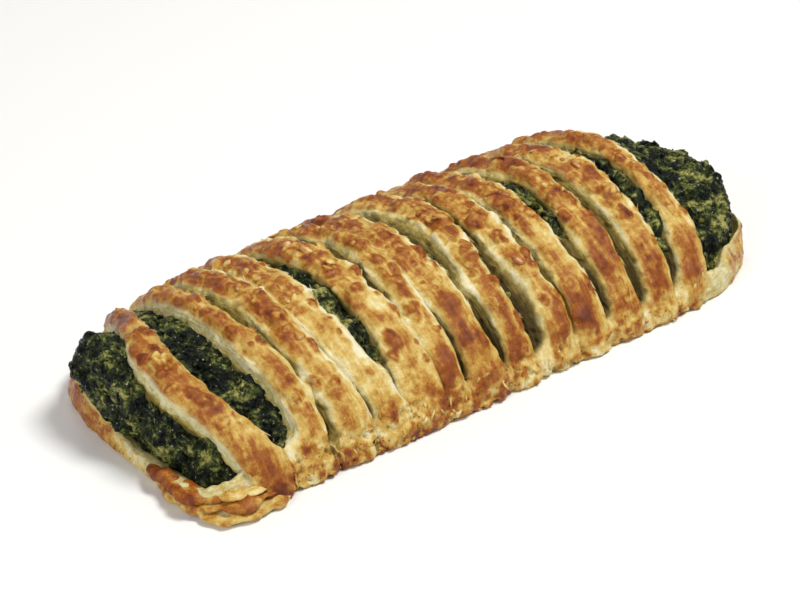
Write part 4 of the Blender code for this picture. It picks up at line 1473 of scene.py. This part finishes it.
def noise(tree, size, detail=3.0, vector=None, rough=0.55, distort=0.0):
    """Cloudy values from 0 to 1 with bumps about this many metres wide."""
    node = tree.nodes.new("ShaderNodeTexNoise")
    if vector is None:
        vector = tree.nodes.new("ShaderNodeTexCoord").outputs["Object"]
    tree.links.new(vector, node.inputs["Vector"])
    node.inputs["Scale"].default_value = 1.0 / size
    node.inputs["Detail"].default_value = detail
    node.inputs["Roughness"].default_value = rough
    node.inputs["Distortion"].default_value = distort
    return node.outputs["Fac"]


def ramp(tree, value, stops):
    node = tree.nodes.new("ShaderNodeValToRGB")
    elements = node.color_ramp.elements
    while len(elements) < len(stops):
        elements.new(0.5)
    for element, (place, colour) in zip(elements, stops):
        element.position = place
        element.color = (*colour, 1.0)
    feed(tree, node.inputs["Fac"], value)
    return node.outputs["Color"]


def span(tree, value, low, high, to_low=0.0, to_high=1.0):
    node = tree.nodes.new("ShaderNodeMapRange")
    node.interpolation_type = "SMOOTHSTEP"
    feed(tree, node.inputs["Value"], value)
    limits = {"From Min": low, "From Max": high, "To Min": to_low, "To Max": to_high}
    for name, number in limits.items():
        node.inputs[name].default_value = number
    return node.outputs["Result"]


def bumps(tree, height, distance, strength=1.0, before=None):
    node = tree.nodes.new("ShaderNodeBump")
    node.inputs["Distance"].default_value = distance
    node.inputs["Strength"].default_value = strength
    feed(tree, node.inputs["Height"], height)
    if before is not None:
        tree.links.new(before, node.inputs["Normal"])
    return node.outputs["Normal"]


def dress(tree, shader, looks):
    """Feed the shader's inputs, each by its name, with a value or a link."""
    for name, value in looks.items():
        feed(tree, shader.inputs[name], value)


print("node helpers ready")

# %% [markdown]
# The ramp of the crust runs from raw to burnt, and the ramp of a cut wall from cream to dark olive,
# whose darker end is stain and painted shade deep in the slits.
# Noise of several sizes is added to the stored fields before a ramp is read: mottles, patches, fine
# grooves along the strip and specks. The bump is built up in the same way, from fine to coarse.

# %% Dough
CRUST_STOPS = (
    (0.00, (0.86, 0.80, 0.55)),
    (0.12, (0.79, 0.67, 0.33)),
    (0.26, (0.70, 0.51, 0.16)),
    (0.38, (0.60, 0.375, 0.080)),
    (0.48, (0.49, 0.248, 0.040)),
    (0.58, (0.39, 0.140, 0.017)),
    (0.72, (0.285, 0.071, 0.009)),
    (0.92, (0.150, 0.030, 0.006)),
)
# Cut wall colours, cream to dark olive: the darker stops are stain and painted shade deep in the slits
CUT_STOPS = (
    (0.02, (0.80, 0.75, 0.48)),
    (0.18, (0.64, 0.55, 0.22)),
    (0.38, (0.43, 0.33, 0.085)),
    (0.62, (0.24, 0.170, 0.034)),
    (1.00, (0.085, 0.056, 0.010)),
)


def stretched(tree, name, scale):
    """A stored position, drawn out by a scale, for lines that follow the strip."""
    node = tree.nodes.new("ShaderNodeMapping")
    node.inputs["Scale"].default_value = scale
    tree.links.new(stored(tree, name, "Vector"), node.inputs["Vector"])
    return node.outputs["Vector"]


def dough_material():
    material, tree, shader = new_material("baked_dough")
    fields = ("bake", "wall", "deep", "cheese", "foot")
    bake, wall, deep, cheese, foot = (stored(tree, name) for name in fields)
    mottle = centred(tree, noise(tree, 1.5 * MM, 4.0), 0.60)
    patches = centred(tree, noise(tree, 5.0 * MM, 2.0), 0.24)
    grooves = noise(tree, 1.0 * MM, 4.0, stretched(tree, "strip", (0.12, 1.0, 0.2)), rough=0.65)
    above = figure(tree, "MULTIPLY_ADD", foot, -0.6, 1.0)
    streaks = figure(tree, "MULTIPLY", centred(tree, grooves, 0.60), above)
    specks = centred(tree, noise(tree, 0.5 * MM, 2.0), 0.22)
    coarse_tone = figure(tree, "ADD", bake, mottle)
    fine_tone = figure(tree, "ADD", patches, figure(tree, "ADD", streaks, specks))
    pores = span(tree, noise(tree, 0.7 * MM, 2.0), 0.58, 0.70, 0.0, 0.30)
    tone = figure(tree, "ADD", coarse_tone, fine_tone)
    tone = figure(tree, "MULTIPLY_ADD", pores, foot, tone, clamp=True)
    crust = ramp(tree, tone, CRUST_STOPS)
    drawn_out = stretched(tree, "strip", (0.30, 0.9, 2.4))
    lines = noise(tree, MM, 4.0, drawn_out, rough=0.65, distort=0.4)
    wet = centred(tree, noise(tree, 1.8 * MM, 5.0, rough=0.70), 0.90)
    layered = centred(tree, lines, -0.70)
    olive_and_shade = figure(tree, "ADD", figure(tree, "ADD", deep, wet), layered, clamp=True)
    gloss = span(tree, tone, 0.25, 0.75, 0.42, 0.22)
    shine = figure(tree, "MULTIPLY_ADD", cheese, -0.10, gloss)
    fine = bumps(tree, noise(tree, 0.65 * MM, 5.0, rough=0.60), 0.36 * MM)
    grooved = bumps(tree, figure(tree, "MULTIPLY", grooves, above), 0.28 * MM, 0.7, fine)
    dress(tree, shader, {
        "Base Color": mix(tree, wall, crust, ramp(tree, olive_and_shade, CUT_STOPS)),
        "Roughness": figure(tree, "MULTIPLY_ADD", wall, 0.30, shine, clamp=True),
        "Specular IOR Level": 0.26,
        "Normal": bumps(tree, figure(tree, "MULTIPLY", lines, wall), 0.60 * MM, 1.0, grooved),
        "Subsurface Weight": 0.10,
        "Subsurface Radius": (1.0, 0.55, 0.25),
        "Subsurface Scale": 1.2 * MM,
    })
    return material


def topping_material(name, shine, bump):
    """The crust's own colours, driven by the tone of each bit."""
    material, tree, shader = new_material(name)
    mottle = centred(tree, noise(tree, 0.9 * MM), 0.50)
    tone = figure(tree, "ADD", stored(tree, "tone"), mottle, clamp=True)
    dress(tree, shader, {
        "Base Color": ramp(tree, tone, CRUST_STOPS),
        "Roughness": shine,
        "Normal": bumps(tree, noise(tree, 0.5 * MM), bump),
    })
    return material


def coat(pieces, material):
    """Give each piece this one material."""
    for piece in pieces:
        piece.data.materials.clear()
        piece.data.materials.append(material)


dough_pieces = [*slats, left_rim, right_rim, *folds]
coat(dough_pieces, dough_material())
coat(toppings[:1], topping_material("melted_cheese", 0.30, 0.10 * MM))
coat(toppings[1:], topping_material("pastry_flake", 0.60, 0.06 * MM))
print("dough on", len(dough_pieces), "pieces")

# %% [markdown]
# The spinach is dark, painted nearly black in its hollows for shade, and yellow green on a few thin
# edges. Two clouds of noise make it vary, one as wide as a clump and one as fine as a cut leaf, with a
# few pale flecks among them, partly specks of fat and partly painted glints. It is wet, so it is smooth
# in places. The base is plain baked dough.

# %% Base and spinach
BASE_STOPS = ((0.30, (0.30, 0.13, 0.035)), (0.50, (0.46, 0.24, 0.07)), (0.70, (0.62, 0.40, 0.15)))
# Pale flecks on the spinach: partly specks of fat, partly painted glints
FLECK_AND_GLINT_COLOUR = (0.55, 0.54, 0.36, 1.0)
LEAF_STOPS = (
    (0.00, (0.003, 0.005, 0.004)),
    (0.26, (0.009, 0.014, 0.008)),
    (0.46, (0.028, 0.038, 0.012)),
    (0.68, (0.115, 0.130, 0.030)),
    (1.00, (0.42, 0.39, 0.12)),
)


def base_material():
    material, tree, shader = new_material("baked_base")
    dress(tree, shader, {
        "Base Color": ramp(tree, noise(tree, 9 * MM, 5.0), BASE_STOPS),
        "Roughness": 0.62,
        "Normal": bumps(tree, noise(tree, 1.2 * MM, 4.0), 0.2 * MM),
    })
    return material


def spinach_material(name, field, push):
    """Green by two clouds of noise, and by a stored field times a push."""
    material, tree, shader = new_material(name)
    clumps = figure(tree, "MULTIPLY_ADD", noise(tree, 4.2 * MM, distort=0.5), 2.6, -2.20)
    chopped = noise(tree, 1.5 * MM, 6.0, rough=0.76, distort=0.8)
    cloud = figure(tree, "MULTIPLY_ADD", chopped, 2.4, clumps)
    value = figure(tree, "MULTIPLY_ADD", stored(tree, field), push, cloud, clamp=True)
    # Pale flecks, partly painted glints
    fleck_and_glint = span(tree, noise(tree, 1.0 * MM, 2.0, distort=0.5), 0.67, 0.73, 0.0, 0.8)
    coarse = bumps(tree, noise(tree, 1.3 * MM, 4.0), 1.10 * MM)
    dress(tree, shader, {
        "Base Color": mix(tree, fleck_and_glint, ramp(tree, value, LEAF_STOPS), FLECK_AND_GLINT_COLOUR),
        "Roughness": span(tree, noise(tree, 1.4 * MM, 2.0), 0.40, 0.60, 0.12, 0.42),
        "Specular IOR Level": 0.12,
        "Normal": bumps(tree, noise(tree, 0.45 * MM, 2.0), 0.20 * MM, 1.0, coarse),
    })
    return material


coat([base_sheet], base_material())
coat([spinach_core], spinach_material("chopped_spinach", "raised", 0.30))
coat([spinach_leaves, spinach_stalks], spinach_material("spinach_leaf", "tone", 0.32))
print("spinach and base finished")

# %% [markdown]
# ## What each piece stands for
# The dough pieces stand for the pastry solid and the spinach pieces for the filling solid. All of
# them ride on the one body, because a strudel has no moving parts.

# %% Ride and replace
for piece in (*dough_pieces, *toppings, base_sheet):
    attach(piece, "root")
    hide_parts("pastry")
for piece in (spinach_core, spinach_leaves, spinach_stalks):
    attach(piece, "root")
    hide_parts("filling")

# %% [markdown]
# ## Table, light and camera
# The photo looks down on the near left corner from about 31 degrees. The light is a plain studio set:
# a large soft key from the upper left, a weaker fill from the right and a pale surround.

# %% Floor and lights
FLOOR_SIZE = 6.0
FLOOR_COLOUR = (0.90, 0.90, 0.89, 1.0)
# Name, place and size in metres, power in watts and colour of each light
LIGHTS = (
    ("key", (0.30, -0.25, 0.85), 0.32, 7.4, (1.0, 0.98, 0.95)),
    ("fill", (-0.80, -0.20, 0.40), 0.50, 3.2, (0.99, 0.99, 1.0)),
    ("back", (0.20, 0.70, 0.60), 0.50, 1.2, (1.0, 0.99, 0.97)),
)
WORLD_COLOUR = (0.98, 0.99, 1.0, 1.0)
WORLD_STRENGTH = 0.24


def add_floor():
    deselect_all()
    bpy.ops.mesh.primitive_plane_add(size=FLOOR_SIZE, location=(0, 0, 0))
    floor = bpy.context.object
    floor.name = "floor"
    material, tree, shader = new_material("pale_floor")
    dress(tree, shader, {"Base Color": FLOOR_COLOUR, "Roughness": 0.8})
    floor.data.materials.append(material)
    return floor


def add_light(name, location, size, power, colour):
    light = bpy.data.lights.new(name, "AREA")
    light.shape = "DISK"
    light.size = size
    light.energy = power
    light.color = colour
    lamp = bpy.data.objects.new(name, light)
    lamp.location = location
    lamp.rotation_euler = (-Vector(location)).to_track_quat("-Z", "Y").to_euler()
    bpy.context.scene.collection.objects.link(lamp)
    return lamp


add_floor()
for light_row in LIGHTS:
    add_light(*light_row)
world = bpy.data.worlds.new("studio")
world.use_nodes = True
background = world.node_tree.nodes["Background"]
background.inputs["Color"].default_value = WORLD_COLOUR
background.inputs["Strength"].default_value = WORLD_STRENGTH
bpy.context.scene.world = world
bpy.context.scene.view_settings.view_transform = "Standard"
print("floor and", len(LIGHTS), "lights")

# %% [markdown]
# The camera is set by the point that it aims at, its distance and two angles, and looks straight at
# that point. A long lens from half a metre away keeps both ends of the loaf nearly the same size.

# %% Camera
CAMERA_AZIMUTH = math.radians(-38.77)
CAMERA_ELEVATION = math.radians(31.19)
CAMERA_DISTANCE = 555.1 * MM
CAMERA_AIM = np.array([-6.56, -2.77, 10.0]) * MM
CAMERA_LENS = 101.0


def add_camera():
    camera = bpy.data.objects.new("camera", bpy.data.cameras.new("camera"))
    bpy.context.scene.collection.objects.link(camera)
    back = np.array([
        math.sin(CAMERA_AZIMUTH) * math.cos(CAMERA_ELEVATION),
        -math.cos(CAMERA_AZIMUTH) * math.cos(CAMERA_ELEVATION),
        math.sin(CAMERA_ELEVATION),
    ])
    camera.location = CAMERA_AIM + back * CAMERA_DISTANCE
    camera.rotation_euler = (math.pi / 2 - CAMERA_ELEVATION, 0.0, CAMERA_AZIMUTH)
    camera.data.lens = CAMERA_LENS
    camera.data.clip_start = 0.02
    bpy.context.scene.camera = camera
    return camera


camera = add_camera()
print("camera at", tuple(round(1000 * v) for v in camera.location), "mm")
